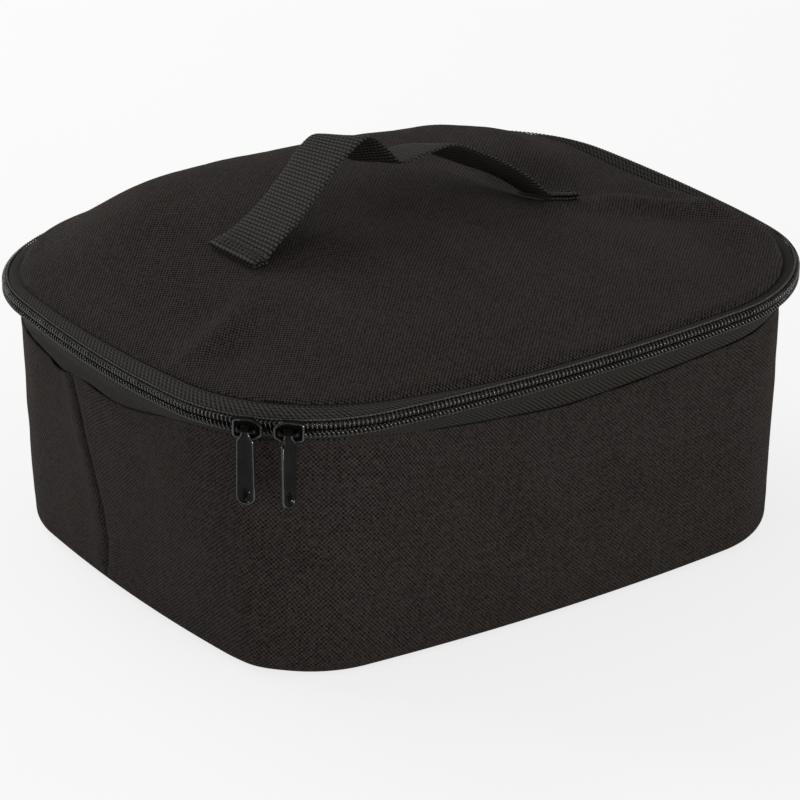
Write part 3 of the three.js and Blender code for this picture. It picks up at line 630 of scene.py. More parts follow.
def curve_through(points, samples):
    """A smooth curve through points, spaced evenly by their own chords."""
    points = np.asarray(points, float)
    chords = np.sqrt(np.linalg.norm(np.diff(points, axis=0), axis=1))
    knots = np.concatenate([[0], np.cumsum(chords)])
    slopes = np.gradient(points, knots, axis=0)
    at = np.linspace(0, knots[-1], samples)
    k = np.clip(np.searchsorted(knots, at, "right") - 1, 0, len(points) - 2)
    width = (knots[k + 1] - knots[k])[:, None]
    t = (at - knots[k])[:, None] / width
    return ((1 + 2 * t) * (1 - t) ** 2 * points[k] + t * (1 - t) ** 2 * width * slopes[k]
            + t**2 * (3 - 2 * t) * points[k + 1] + t**2 * (t - 1) * width * slopes[k + 1])


def tube(path, radius_a, radius_b, side, sides=8):
    """A bar along a path, whose section's first axis is the given side direction."""
    path = np.asarray(path, float)
    forward = unit(np.gradient(path, axis=0))
    side = np.broadcast_to(side, path.shape)
    side = unit(side - (side * forward).sum(1)[:, None] * forward)
    up = np.cross(forward, side)
    angle = np.arange(sides) / sides * 2 * math.pi
    ring_a = np.broadcast_to(radius_a, len(path))[:, None, None] * np.cos(angle)[None, :, None]
    ring_b = np.broadcast_to(radius_b, len(path))[:, None, None] * np.sin(angle)[None, :, None]
    return ringed(path[:, None] + ring_a * side[:, None] + ring_b * up[:, None])


STITCH_SHARES = np.array([0, 0.15, 0.5, 0.85, 1])
STITCH_RISES = np.array([-1.2, 0.35, 0.75, 0.35, -1.2])


def stitches(name, path, normal, body, stuff=(THREAD, "binding"), length=2.3, gap=0.9, radius=0.27):
    """A row of thread stitches along a path, sunk a little at their ends."""
    along = run_along(path)
    normal = np.broadcast_to(normal, path.shape)
    parts = []
    start = gap
    while start + length < along[-1]:
        places = start + length * STITCH_SHARES
        out = points_at(places, along, normal)
        line = points_at(places, along, path) + out * (radius * STITCH_RISES)[:, None]
        parts.append(tube(line, radius, radius, np.cross(line[-1] - line[0], out[0]), 6))
        start += length + gap
    return mesh_piece(name, *joined(parts), None, stuff, body)


# Walls

EDGE_ROWS = 8
WALL_ROWS = 40
PAD_ROWS = 12
LINING_ROWS = 24
SEAM_TOP = ZIP_HEIGHT + DROOP - SEAM_DROP

# How far the upright seams bend forward along the ends, in stretches, at heights up the wall
SEAM_BEND = np.array([
    [0, 0.0], [8, 0.02], [28, 0.05], [45, 0.04], [70, 0.0], [95, -0.05], [112, -0.08], [140, -0.1],
])
SEAM_BEND_REACH = 0.36


def bent_lines(height):
    """The foot's and the top's outlines, with their columns moved to follow the upright seams."""
    bend = np.interp(height, SEAM_BEND[:, 0], SEAM_BEND[:, 1])
    places = PLACES.copy()
    for seam, way in ((SEAM_PLACE, 1), (5 - SEAM_PLACE, -1)):
        away = np.abs(PLACES - seam) / SEAM_BEND_REACH
        places = places + way * bend * np.where(away < 1, np.cos(away * math.pi / 2) ** 2, 0)
    return outline(FOOT, places), outline(inset(RIM, COLLAR_INSET), places)


def edge_loops(depth):
    """Loops round the folded bottom edge, from the floor up to the straight wall."""
    radius = EDGE_RADIUS - depth
    for step in range(EDGE_ROWS):
        angle = step / EDGE_ROWS * math.pi / 2
        height = EDGE_RADIUS - radius * math.cos(angle)
        yield wall_loop(EDGE_RADIUS - radius * math.sin(angle), height, *bent_lines(height))


def near(column, width):
    """How near each column is to one column, 1 on it, fading over a width, and how far away it is."""
    round_trip = ALONG[-1]
    away = (ALONG[:-1] - ALONG[column] + round_trip / 2) % round_trip - round_trip / 2
    return np.exp(-((away / width) ** 2)), away


FRONT_CREASE = STARTS[1] + int(0.28 * CORNER_STEPS)
CREASE_HEIGHT, CREASE_WIDTH = 2.6, 15
CREASE_SHARE = 0.5
GROOVE_DEPTH, GROOVE_WIDTH = 1.1, 2.2
SEAM_SWELL = 6
WALL_SLACK = 1.4
FINE_SLACK = 0.4
PUCKER = 0.7
PUCKER_REACH = 9


def wall_push(row, share, below_top):
    """How far the outer cloth stands off its plain wall, with slack, seam grooves and puckers."""
    free = smoothstep(share / 0.12) * smoothstep((1 - share) / 0.08)
    slack = 0.5 + WALL_SLACK * ripple(row * [1, 1, 0.6], 60, 1) + FINE_SLACK * ripple(row, 17, 2)
    pucker = PUCKER * ripple(row * [1, 1, 0.25], 8, 3) * np.exp(-below_top / PUCKER_REACH)
    groove = np.zeros(COLUMNS)
    for column, way in ((LEFT_SEAM, 1), (RIGHT_SEAM, -1)):
        line, away = near(column, GROOVE_WIDTH)
        groove += np.exp(-((away * way / SEAM_SWELL + 1) ** 2)) - GROOVE_DEPTH * line
    crease = CREASE_HEIGHT * near(FRONT_CREASE, CREASE_WIDTH)[0] * np.exp(-((share / CREASE_SHARE) ** 2))
    return slack * free + pucker + groove * smoothstep(share / 0.06) + crease


# The hem at the cloth's top edge: degrees round its roll, and a fall behind it
HEM = ((45, 0.0), (90, 0.0), (150, 1.5))
HEM_RADIUS = 0.8


def wall_rows():
    """Loops up the outer cloth, to the hem at its top seam."""
    rows = []
    for row in edge_loops(0):
        rows.append(pushed(row, wall_push(row, 0.0, SEAM_TOP) * smoothstep((row[:, 2] + 2) / EDGE_RADIUS)))
    for step in range(WALL_ROWS + 1):
        share = step / WALL_ROWS
        height = EDGE_RADIUS + (SEAM_TOP - EDGE_RADIUS) * share
        row = wall_loop(0, height, *bent_lines(height))
        rows.append(pushed(row, wall_push(row, share, SEAM_TOP - height)))
    top = rows[-1]
    for angle, fall in HEM:
        turn = math.radians(angle)
        rise = HEM_RADIUS * math.sin(turn) - fall
        rows.append(pushed(top, -HEM_RADIUS * (1 - math.cos(turn))) + rise * UP)
    return rows


LEAN_BELOW = 16
LEAN_OVER = 12


def inner_rows(depth, count, lean=0.0):
    """Loops of an inner layer, which may lean in under the zip's tape."""
    rows = list(edge_loops(depth))
    for step in range(count + 1):
        height = EDGE_RADIUS + (WALL_TOP - EDGE_RADIUS) * step / count
        shift = -lean * smoothstep((height - SEAM_TOP + LEAN_BELOW) / LEAN_OVER)
        rows.append(pushed(wall_loop(depth, height, *bent_lines(height)), shift))
    return rows


LINING_SLACK = 1.4


def lining_rows():
    """Loops of the lining, which hangs a little slack between its seams."""
    rows = []
    for row in inner_rows(LINING_DEPTH, LINING_ROWS):
        free = smoothstep((row[:, 2] - 6) / 18) * smoothstep((WALL_TOP - 4 - row[:, 2]) / 14)
        rows.append(pushed(row, -(free * (0.5 + 0.5 * ripple(row, 26, 11)) * LINING_SLACK)))
    return rows


PAD_EASE = 0.8
PAD_LEAN = 2.4
OUTER = wall_rows()
PAD_OUT = inner_rows(FOAM_DEPTH + PAD_EASE, PAD_ROWS, PAD_LEAN)
PAD_IN = inner_rows(FOAM_DEPTH + WALL_FOAM, PAD_ROWS)
INNER = lining_rows()
for side, span in WALLS.items():
    strip(f"{side}_shell", OUTER, span, FABRIC, OXFORD, "base", f"{side}_wall", fan=True)
for side, span in WALLS.items():
    closed_layer(f"{side}_padding", PAD_OUT, PAD_IN, span, FOAM, "base", f"{side}_wall_foam")
for side, span in WALLS.items():
    strip(f"{side}_lining", INNER, span, LINING, FILM, "base", f"{side}_wall_lining")


# Bottom

BOTTOM_INSET = EDGE_RADIUS + GAP
BOARD_TOP = FOAM_DEPTH + BOARD
FLOOR_SHARES = (1, 0.97, 0.9, 0.8, 0.68, 0.55, 0.42, 0.3, 0.18, 0.08)
FILM_WAVES = 0.9


def floor_sheet(name, low, high, stuff, node, uneven=0.0):
    """A sheet with the foot's outline between two heights, with a softly uneven upper face."""
    edge = FOOT_LINE - BOTTOM_INSET * OUTWARD
    upper, lower = [], []
    for share in FLOOR_SHARES:
        flat = at_height(edge * share, 0)
        lift = uneven * (0.5 + 0.5 * ripple(flat, 38, 5)) * smoothstep((1 - share) / 0.15)
        upper.append(at_height(edge * share, high + lift))
        lower.append(at_height(edge * share, low))
    mesh_piece(name, *from_above(*ringed(lower[::-1] + upper)), stuff, "base", node)


floor_sheet("bottom_cloth", 0, FABRIC, OXFORD, "bottom_panel")
floor_sheet("bottom_padding", BOARD_TOP + GAP, FOAM_DEPTH + WALL_FOAM, FOAM, "bottom_foam")
floor_sheet("bottom_film", LINING_DEPTH, WALL_DEPTH, FILM, "bottom_lining", FILM_WAVES)
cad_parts["bottom_board"].data.materials.clear()
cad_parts["bottom_board"].data.materials.append(BOARD_PLASTIC)

TAPE_IN = BOTTOM_INSET + GAP
TAPE_TOP = WALL_DEPTH + GAP + BINDING
TAPE_ARCH = 0.35
STITCH_LIFT = 0.15


def foot_loop(depth, height):
    return at_height(FOOT_LINE - depth * OUTWARD, height)


bottom_rows = [
    foot_loop(TAPE_IN + share * BINDING_WIDTH, TAPE_TOP + TAPE_ARCH * math.sin(math.pi * share))
    for share in np.linspace(0, 1, 7)
]
strip("bottom_tape", bottom_rows, None, BINDING, GROSGRAIN, "base", "bottom_binding")
for number, share in enumerate((0.2, 0.8)):
    line = foot_loop(TAPE_IN + share * BINDING_WIDTH, TAPE_TOP + STITCH_LIFT)
    stitches(f"bottom_tape_stitches_{number + 1}", closed(line), UP, "base")


RIM_FOLD_OUT = 2.6
RIM_FOLD_RISE = 1.3
BINDING_SHEET = 0.8


def rim_tape_rows():
    """The binding folded over the padding and lining at the top of the walls."""
    outside, within = FOAM_DEPTH + RIM_FOLD_OUT, WALL_DEPTH + GAP + BINDING
    rows = [wall_loop(within, WALL_TOP - BINDING_WIDTH * (1 - share)) for share in np.linspace(0, 1, 6)]
    middle, half = (outside + within) / 2, (within - outside) / 2
    for angle in np.linspace(20, 180, 9):
        turn = math.radians(angle)
        rows.append(wall_loop(middle + half * math.cos(turn), WALL_TOP) + RIM_FOLD_RISE * math.sin(turn) * UP)
    return rows


strip("rim_tape", rim_tape_rows(), None, BINDING_SHEET, GROSGRAIN, "base", "rim_binding", flip=True)
line = wall_loop(WALL_DEPTH + GAP + BINDING + 0.1, WALL_TOP - BINDING_WIDTH + 1.8)
stitches("rim_tape_stitches", closed(line), closed(at_height(-OUTWARD, 0)), "base")


# Zip

TAPE_INSET = 3.5
TAPE_STANDOFF = 0.25
TUCK_PAST = 5
TUCK_DEPTH = 1.9


def lower_tape_rows():
    """The tape under the zip, from behind the coil down to its tuck behind the walls' hem."""
    rows = [rim_loop(TAPE_INSET, rise) for rise in (-0.5, -2.6, -4.4)]
    for share in np.linspace(0, 1, 14):
        drop = COLLAR_START + (SEAM_DROP + TUCK_PAST - COLLAR_START) * share
        tuck = smoothstep((drop - (SEAM_DROP - 2.5)) / 3.5)
        past = np.maximum(drop - COLLAR_DROP, 0) * 0.1
        rows.append(rim_loop(collar_inset(drop) + past + TAPE_STANDOFF + TUCK_DEPTH * tuck, -drop))
    return rows


def upper_tape_rows():
    """The tape over the zip, from behind the coil up and in to where the lid's edge covers it."""
    rows = [rim_loop(TAPE_INSET, rise) for rise in (0.5, 2.4)]
    start_in = TAPE_INSET + 0.1
    start_rise = 4.4 - np.clip(5.6 - SEAM_RISE, 0, 1) + 1.6 * smoothstep((3.6 - SEAM_RISE) / 2)
    seat_in, seat = SEAM_INSET + 0.4, SEAM_RISE - 1.3
    for share in np.linspace(0, 1, 9):
        rise = start_rise + (seat - start_rise) * share + 0.5 * math.sin(math.pi * share)
        rows.append(rim_loop(start_in + (seat_in - start_in) * share, rise))
    rows.append(rim_loop(SEAM_INSET + 3, SEAM_RISE - 2.2))
    return rows


strip("zip_tape_below", lower_tape_rows(), ZIP_SPAN, TAPE, LOWER_TAPE, "base", "zip_tape_lower", flip=True)
strip("zip_tape_above", upper_tape_rows(), ZIP_SPAN, TAPE, UPPER_TAPE_PAINTED_LIT, "lid", "zip_tape_upper")

TOOTH_PITCH = 2.24
TOOTH_STEPS = 12
WIRE = 0.5
COIL_FOOT = 0.15
COIL_TOP = 3.7
COIL_DEEP = 1.55
TOOTH_LEAN = 0.42


def zip_line(distance, rise):
    """A line along the zip, the outward way at each of its points, and the distance along it."""
    (line, outward), along = span_of([rim_loop(distance, rise), at_height(OUTWARD, 0)], ZIP_SPAN)
    return line, outward, along[:-1] - along[0]


def coil(side):
    """A helix of nylon along the zip, whose leaning turns show as slanted teeth."""
    centre, outward, along = zip_line(COIL_DEEP, side * (COIL_FOOT + COIL_TOP) / 2)
    turns = int(along[-1] / TOOTH_PITCH)
    share = np.linspace(0, 1, turns * TOOTH_STEPS + 1)
    angle = share * turns * 2 * math.pi + (math.pi if side < 0 else 0)
    tall, deep = (COIL_TOP - COIL_FOOT) / 2 - WIRE, COIL_DEEP - WIRE
    at = np.clip(share * along[-1] - TOOTH_LEAN * tall * np.sin(angle) * side, 0, along[-1])
    out = points_at(at, along, outward)
    path = points_at(at, along, centre) + out * (deep * np.cos(angle))[:, None]
    return tube(path + UP * (side * tall * np.sin(angle))[:, None], WIRE, WIRE, out, 6)


SEW_INSET = 2.7
SEW_RISE = 4.25
SEW_LENGTH = 1.45
SEW_RADIUS = 0.36
for side, body, place in ((-1, "base", "below"), (1, "lid", "above")):
    sewing, outward, _ = zip_line(SEW_INSET, side * SEW_RISE)
    stitches(
        f"zip_sewing_{place}", sewing, outward, body, (THREAD_PAINTED_HIGHLIGHT, "zip_tape"),
        SEW_LENGTH, TOOTH_PITCH - SEW_LENGTH, SEW_RADIUS)
mesh_piece("zip_coil_below", *coil(-1), None, LOWER_COIL, "base", "zip_coil_lower")
mesh_piece("zip_coil_above", *coil(1), None, UPPER_COIL_PAINTED_LIT, "lid", "zip_coil_upper")


# Lid

LID_EDGE = RIM_LINE - SEAM_INSET[:, None] * OUTWARD
LID_REACH = np.linalg.norm(LID_EDGE, axis=1)
LID_TURN = np.unwrap(np.arctan2(LID_EDGE[:, 1], LID_EDGE[:, 0]))
LID_CROWN = 28.7
LEAN_LEFT = 12.0
LEAN_BACK = 20.0
END_FALL = 7.5
CORNER_FALL = 14.0
BACK_SWELL = 8.0
SHOULDER = 3.25
EDGE_EASE = 1.13
ROLL_REACH = 4.5
FREE_REACH = 14

# The lid's slack, as heights, sizes and seeds of noise
LID_SLACK = ((1.1, 60, 21), (0.45, 21, 22), (0.16, 9, 23))

# Folds of the soft lid: a line in plan, its height and its half width
FOLDS = [
    ([(84, -18), (119, -20), (146, -31), (172, -50)], 8.0, 10),
    ([(158, -64), (170, -36), (173, -8), (168, 18)], 6.0, 16),
    ([(104, 28), (110, 28)], -15.0, 36),
    ([(-112, -34), (-133, -47), (-151, -52), (-166, -53)], 3.2, 8),
    ([(-120, -58), (-140, -68), (-156, -72)], -2.2, 12),
    ([(-58, -8), (-50, -28), (-40, -52), (-34, -74)], 1.7, 12),
    ([(-84, -28), (-78, -52), (-70, -78)], -1.5, 12),
    ([(60, -34), (40, -58), (24, -84)], -2.0, 16),
    ([(84, -38), (96, -64), (104, -92)], 1.5, 13),
    ([(112, 114), (136, 98), (146, 80)], 2.5, 20),
    ([(-132, 34), (-112, 68), (-80, 100), (-44, 118)], 2.6, 24),
]


def fold_lift(x, y):
    """The height that the folds add at points of the lid."""
    total = np.zeros(len(x))
    for line, height, width in FOLDS:
        line = np.array(line, float)
        nearest = np.full(len(x), 1e9)
        place = np.zeros(len(x))
        pieces = len(line) - 1
        for k in range(pieces):
            start, way = line[k], line[k + 1] - line[k]
            t = np.clip(((x - start[0]) * way[0] + (y - start[1]) * way[1]) / (way @ way), 0, 1)
            away = np.hypot(x - start[0] - t * way[0], y - start[1] - t * way[1])
            closer = away < nearest
            nearest[closer] = away[closer]
            place[closer] = (k + t[closer]) / pieces
        fade = 0.35 + 0.65 * np.sin(math.pi * np.clip(place, 0.08, 0.92)) if pieces > 1 else 1.0
        total += height * np.exp(-((nearest / width) ** 2)) * fade
    return total


def edge_value(values, x, y):
    """A value of the rim in the direction of each point."""
    turn = np.mod(np.arctan2(y, x) - LID_TURN[0], 2 * math.pi)
    return np.interp(turn, LID_TURN - LID_TURN[0], values, period=2 * math.pi)


def lid_height(x, y):
    """The lid's outer face over points in plan, with its folds."""
    reach = edge_value(LID_REACH, x, y)
    ring = np.clip(np.hypot(x, y) / reach, 0, 1)
    along, across = x / (RIM[0] / 2), y / (RIM[1] / 2)
    swell = LID_CROWN + LEAN_BACK * across - LEAN_LEFT * along + BACK_SWELL * across**2 - END_FALL * along**2
    dome = (1 - ring**SHOULDER) ** EDGE_EASE * (swell - CORNER_FALL * (along * across) ** 2)
    settle = (edge_value(DROOP + SEAM_RISE, x, y) - LID_SEAM_RISE) * ring**6
    inside = (1 - ring) * reach
    roll = edge_value(EDGE_ROLL, x, y) * inside / ROLL_REACH * np.exp(1 - inside / ROLL_REACH)
    plan = np.column_stack([x, y, np.zeros(len(x))])
    slack = sum(height * ripple(plan, size, seed) for height, size, seed in LID_SLACK)
    free = smoothstep(inside / FREE_REACH) * (slack + fold_lift(x, y))
    return ZIP_HEIGHT + LID_SEAM_RISE + dome + settle + roll + free


def over_lid(plan, lift):
    """Points this far over the lid's face, at places in plan."""
    return at_height(plan, lid_height(*plan.T) + lift)


RINGS = np.concatenate([np.linspace(0.02, 0.9, 44), np.linspace(0.915, 1, 12)])


def lid_rows(depth, furthest=1.0):
    return [over_lid(LID_EDGE * ring, -depth) for ring in RINGS * furthest]


def lid_sheet(name, rows, thickness, stuff, node):
    points, faces = ringed(rows, 1)
    faces = [f[::-1] for f in faces]
    thicken(mesh_piece(name, *from_above(points, faces), stuff, "lid", node), thickness)


def lid_shell_rows():
    """The lid's cloth, turned under at its seam."""
    rows = lid_rows(0)
    turn = ((0.35, 0.35), (0.45, 0.8), (0.1, 1.25))
    return rows + [pushed(rows[-1], distance) - drop * UP for distance, drop in turn]


LID_CLOTH = 0.9
PADDING_EDGE = 0.975
LID_LINING_DEPTH = FABRIC + 2 * GAP + LID_FOAM
lid_sheet("lid_shell", lid_shell_rows(), LID_CLOTH, LID_OXFORD, "lid_panel")
lid_sheet("lid_padding", lid_rows(FABRIC + GAP, PADDING_EDGE), LID_FOAM, FOAM, "lid_foam")
lid_sheet("lid_film", lid_rows(LID_LINING_DEPTH, PADDING_EDGE), LINING, FILM, "lid_lining")


def lid_tape_rows():
    """The binding round the edge of the lid's padding, hemmed inwards under its lining."""
    low = LID_LINING_DEPTH + LINING + GAP + BINDING
    path = [
        (0.985, FABRIC + 1.2), (0.988, 3.2), (0.986, 5.2), (0.98, low - 0.2), (0.97, low), (0.955, low),
        (0.94, low - 0.1), (0.93, low - 0.3),
    ]
    return [over_lid(LID_EDGE * ring, -depth) for ring, depth in path]


strip("lid_tape", lid_tape_rows(), None, BINDING_SHEET, GROSGRAIN, "lid", "lid_binding", flip=True)


# Hinge strip

def hinge_rows():
    """Loops of the hinge strip, from behind the walls' hem, over the hinge line, to under the lid's edge."""
    rows = []
    for drop in np.linspace(SEAM_DROP + 3, COLLAR_START, 8):
        tuck = 1.6 * smoothstep((drop - (SEAM_DROP - 2)) / 3)
        rows.append(rim_loop(0.7 + (collar_inset(drop) - COLLAR_START_INSET) * 0.95 + tuck, -drop))
    seat = SEAM_RISE - 1.2
    over = [(0.6, rise) for rise in (-3.6, -1.8, 0, 1.8, 3.4)]
    over += [(1.3, 4.6), (3.0, 5.2), (5.6, (5.2 + seat) / 2)]
    over += [(SEAM_INSET + 0.3, seat), (SEAM_INSET + 2.3, seat - 0.8)]
    return np.array(rows + [rim_loop(distance, rise) for distance, rise in over])


HINGE_THICKNESS = 1.3
rows = hinge_rows()
face = unit(np.cross(np.broadcast_to(at_height(TANGENT, 0), rows.shape), np.gradient(rows, axis=0)))
hinge = closed_layer(
    "hinge_strip", rows, rows - HINGE_THICKNESS * face, HINGE_SPAN, OXFORD, None,
    "hinge_strip_lower", "hinge_strip_upper")
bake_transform(hinge)


# Handle

# The strap's share of the way, its shift to the back, its rise, its turn in degrees and its front edge's lift
STRAP_STATIONS = np.array([
    [-0.053, 0, 0, 11, 0], [0, 1.2, 3.4, 11, 0.4], [0.09, 4.5, 9.5, 9, 1], [0.2, 11, 18.5, 9, 2.5],
    [0.3, 17.5, 27.5, 18, 3.5], [0.38, 21, 31, 29, 4], [0.45, 21.5, 21.5, 27, 5], [0.5, 20, 15.2, 20, 5.5],
    [0.6, 19, 17.4, 19, 6.5], [0.69, 18, 19, 18.3, 7.5], [0.79, 16, 13.5, 18, 8],
    [0.88, 12.5, 9.2, 15.4, 6.9], [0.94, 8, 6.6, 12, 4.5], [0.98, 3, 2.6, 4, 4.6], [1, 0, 0, 0, 5],
])
STRAP_SAMPLES = 620
SPLIT_SHARE = 0.45
SEWN_SHARE = 0.02
TOP_LAYER = STRAP_SEAT + 1.5 * WEBBING


def swivelled(x, y, reach, degrees):
    """Places in plan this far across the strap from its middle line, which is turned by degrees."""
    turn = np.radians(degrees)
    return np.column_stack(np.broadcast_arrays(x - reach * np.sin(turn), y + reach * np.cos(turn)))


def strap_edge(side):
    """The strap's front or back edge, which comes down to the lid at both ends."""
    start, length = STRAP_LEFT + STRAP_END, STRAP_RIGHT - STRAP_LEFT - 2 * STRAP_END
    share, shift, rise, swivel, lift = STRAP_STATIONS.T
    x, y = start + share * length, STRAP_ACROSS + shift
    middle = lid_height(x, y) + TOP_LAYER + rise - side * lift / 2
    edge = over_lid(swivelled(x, y, side * STRAP_WIDTH / 2, swivel), TOP_LAYER)
    sewn = np.exp(-((np.minimum(share - share[0], share[-1] - share) / SEWN_SHARE) ** 2))
    edge[:, 2] = middle + (edge[:, 2] + rise - middle) * sewn
    return curve_through(edge, STRAP_SAMPLES)


RIBBON_ROWS = 15


def ribbon(front, back, begin=0.0):
    """A closed band of webbing between two edge lines, with ribs across it and rounded selvedges."""
    centre = (front + back) / 2
    run = run_along(centre) + begin
    normal = unit(np.cross(np.gradient(centre, axis=0), back - front))
    rib = 0.5 + 0.5 * np.sin(2 * math.pi * run / RIB_PITCH)
    across = np.sin(np.linspace(-1, 1, RIBBON_ROWS) * math.pi / 2)
    half = WEBBING / 2 * np.sqrt(np.clip(1 - np.abs(across) ** 6, 0, 1))
    order = [(k, 1) for k in range(RIBBON_ROWS)] + [(k, -1) for k in range(RIBBON_ROWS - 2, -1, -1)]
    rows = []
    for k, side in order:
        wide = across[k] * (1 + 0.018 * (rib - 0.5))
        lift = half[k] * (0.84 + 0.16 * rib) * side
        rows.append(centre + (back - front) / 2 * wide[:, None] + normal * lift[:, None])
    points, faces, _ = loft(rows)
    across_at = np.array([across[k] for k, _ in order]) * STRAP_WIDTH / 2
    table = np.stack(np.broadcast_arrays(run, across_at[:, None]), -1).reshape(-1, 2)
    return sealed(points, faces, table[faces].reshape(-1, 2), len(run))


front_edge, back_edge = strap_edge(-1), strap_edge(1)
middle_line = (front_edge + back_edge) / 2
strap_run = run_along(middle_line)
split = int(SPLIT_SHARE * STRAP_SAMPLES)
left_band = ribbon(front_edge[: split + 1], back_edge[: split + 1])
right_band = ribbon(front_edge[split:], back_edge[split:], strap_run[split])
strap_left = mesh_piece("strap_left", *left_band, WEBBING_CLOTH, None, "handle_strap")
strap_right = mesh_piece("strap_right", *right_band, WEBBING_CLOTH, None, "handle_strap")
inner_left, split_x, inner_right = middle_line[[0, split, -1], 0]
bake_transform(strap_left)
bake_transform(strap_right)

FLAT_STEPS = 40


def folded_end(inner, outer, swivel):
    """Edge lines of webbing that runs out under itself, folds at the outer end and comes back on top."""
    way = math.copysign(1, outer - inner)
    fold = WEBBING / 2
    under, fold_at = STRAP_SEAT + fold, outer - way * 2 * fold
    turn = np.radians(np.linspace(0, 180, 13)[1:-1])
    flat = np.linspace(inner, fold_at, FLAT_STEPS)
    x = np.concatenate([flat, fold_at + way * fold * np.sin(turn), flat[::-1]])
    rise = [np.full(FLAT_STEPS, under), under + fold * (1 - np.cos(turn)), np.full(FLAT_STEPS, TOP_LAYER)]
    edges = [
        over_lid(swivelled(x, STRAP_ACROSS, side * STRAP_WIDTH / 2, swivel), np.concatenate(rise))
        for side in (-1, 1)
    ]
    return edges if way < 0 else edges[::-1]


STRAP_ENDS = {
    "left": (inner_left, STRAP_LEFT, STRAP_STATIONS[0, 3]),
    "right": (inner_right, STRAP_RIGHT, STRAP_STATIONS[-1, 3]),
}
END_STITCH = {"length": 2.4, "gap": 0.7, "radius": 0.3}
END_ROWS = np.linspace(0.2, 0.92, 4)
ROW_REACH = np.linspace(-0.43, 0.43, 12) * STRAP_WIDTH
ROW_RISE = TOP_LAYER + WEBBING / 2 + 0.02
for side, (inner, outer, swivel) in STRAP_ENDS.items():
    band = ribbon(*folded_end(inner, outer, swivel))
    mesh_piece(f"strap_end_{side}", *band, WEBBING_CLOTH, "lid", f"handle_end_{side}")
    for number, share in enumerate(END_ROWS):
        line = over_lid(swivelled(outer + (inner - outer) * share, STRAP_ACROSS, ROW_REACH, swivel), ROW_RISE)
        stitches(f"strap_stitches_{side}_{number + 1}", line, UP, "lid", (THREAD, "webbing"), **END_STITCH)


# Sliders and pulls, each made with X along the zip, Y outwards and Z up

def shrunk(ring, distance):
    """A ring of points moved in by a distance along its own normals."""
    tangent = unit(np.roll(ring, -1, 0) - np.roll(ring, 1, 0))
    return ring + distance * np.column_stack([-tangent[:, 1], tangent[:, 0]])


def stack(ring, levels, filled=True):
    """A solid with a ring's outline through (inset, height) levels, filled in at its ends or left open."""
    rings = []
    for distance, y in levels:
        x, z = shrunk(ring, distance).T
        rings.append(np.column_stack([x, np.full(len(ring), y), z]))
    points, faces = ringed(rings, 0)
    faces = [[a, d, c, b] for a, b, c, d in faces]
    if filled:
        faces += [list(range(len(ring))), list(range(len(points) - len(ring), len(points)))[::-1]]
    return points, faces


def rounded(corners, radius, steps=6):
    """A ring round corners, each with its own radius, going anticlockwise."""
    corners = np.asarray(corners, float)
    ring = []
    for k, (corner, bend) in enumerate(zip(corners, np.broadcast_to(radius, len(corners)))):
        before, after = unit(corners[k - 1] - corner), unit(corners[(k + 1) % len(corners)] - corner)
        half = math.acos(np.clip(before @ after, -1, 1)) / 2
        centre = corner + unit(before + after) * bend / math.sin(half)
        a, b = [corner + way * bend / math.tan(half) - centre for way in (before, after)]
        turn = math.atan2(a[0] * b[1] - a[1] * b[0], a @ b) * np.linspace(0, 1, steps + 1)
        ring.append(centre + np.outer(np.cos(turn), a) + np.outer(np.sin(turn), (-a[1], a[0])))
    return np.concatenate(ring)


SLIDER_LENGTH = 15.2
POST = 0.1
SLIDER_NOSE = 11.4
SLIDER_TAIL = 10.0
FRONT_PLAY = 1.0
BACK_FACE = -5.6
WING = 1.6
LIP = 0.8
ALONG_Z = (0, 0, 1)


def slider_parts():
    """A slider with its nose along +X: a hollow, rimmed front wing, a back wing, a neck and a bail."""
    half, nose, tail = SLIDER_LENGTH / 2, SLIDER_NOSE / 2, SLIDER_TAIL / 2
    wing = rounded([
        (-half, -tail), (half - 5, -nose), (half, -nose * 0.5),
        (half, nose * 0.5), (half - 5, nose), (-half, tail),
    ], [2.2, 5, 2.6, 2.6, 5, 2.2])
    face = FRONT_PLAY + WING
    rim = stack(wing, [
        (0.5, FRONT_PLAY), (0.05, FRONT_PLAY + 0.15), (0, FRONT_PLAY + 0.5), (0, face - 0.35),
        (0.2, face + 0.1), (0.6, face + 0.3), (1.0, face + 0.2), (1.4, face - 0.3)])
    # The well is painted dark, as the shade inside it.
    well = stack(wing, [(1.35, face - 0.28), (1.6, face - 0.9), (3.4, face - 1.0)])
    back_wing = rounded([
        (-half, -3.6), (half - 4, -4.3), (half, -2), (half, 2), (half - 4, 4.3), (-half, 3.6),
    ], [1, 3, 1.6, 1.6, 3, 1])
    back = stack(back_wing, [
        (0.5, BACK_FACE - WING), (0, BACK_FACE - WING + 0.5), (0, BACK_FACE - 0.4), (0.4, BACK_FACE)])
    post = rounded([(half - 6, -POST), (half - 2, -POST), (half - 2, POST), (half - 6, POST)], 0.6 * POST, 3)
    neck = stack(post, [(0, BACK_FACE - 0.4), (0, FRONT_PLAY + 0.4)])
    parts = [rim, back, neck]
    for side in (-1, 1):
        row = [(-half + 0.6, FRONT_PLAY + 0.4, side * tail), (0, FRONT_PLAY + 0.5, side * (nose - 0.3)),
               (half - 4.6, FRONT_PLAY + 0.4, side * (nose - 0.1))]
        parts.append(tube(curve_through(row, 14), LIP, 1.25 * LIP, ALONG_Z, 10))
    arch = [(4.5, 1.8), (4.45, 3.4), (4.1, 4.6), (3.2, 5.15), (1.5, 5.2)]
    line = curve_through([(-x, y, 0) for x, y in arch] + [(x, y, 0) for x, y in arch[::-1]], 40)
    foot = 1 + 0.7 * smoothstep((np.abs(line[:, 0]) - 3.2) / 1.2)
    parts.append(tube(line, 0.85 * foot, 0.8, ALONG_Z, 12))
    # A thin rim round the front wing, painted light as a highlight.
    shine = stack(wing, [(0.15, face + 0.02), (0.6, face + 0.36), (1.1, face + 0.2)], False)
    return parts, [well], [shine]


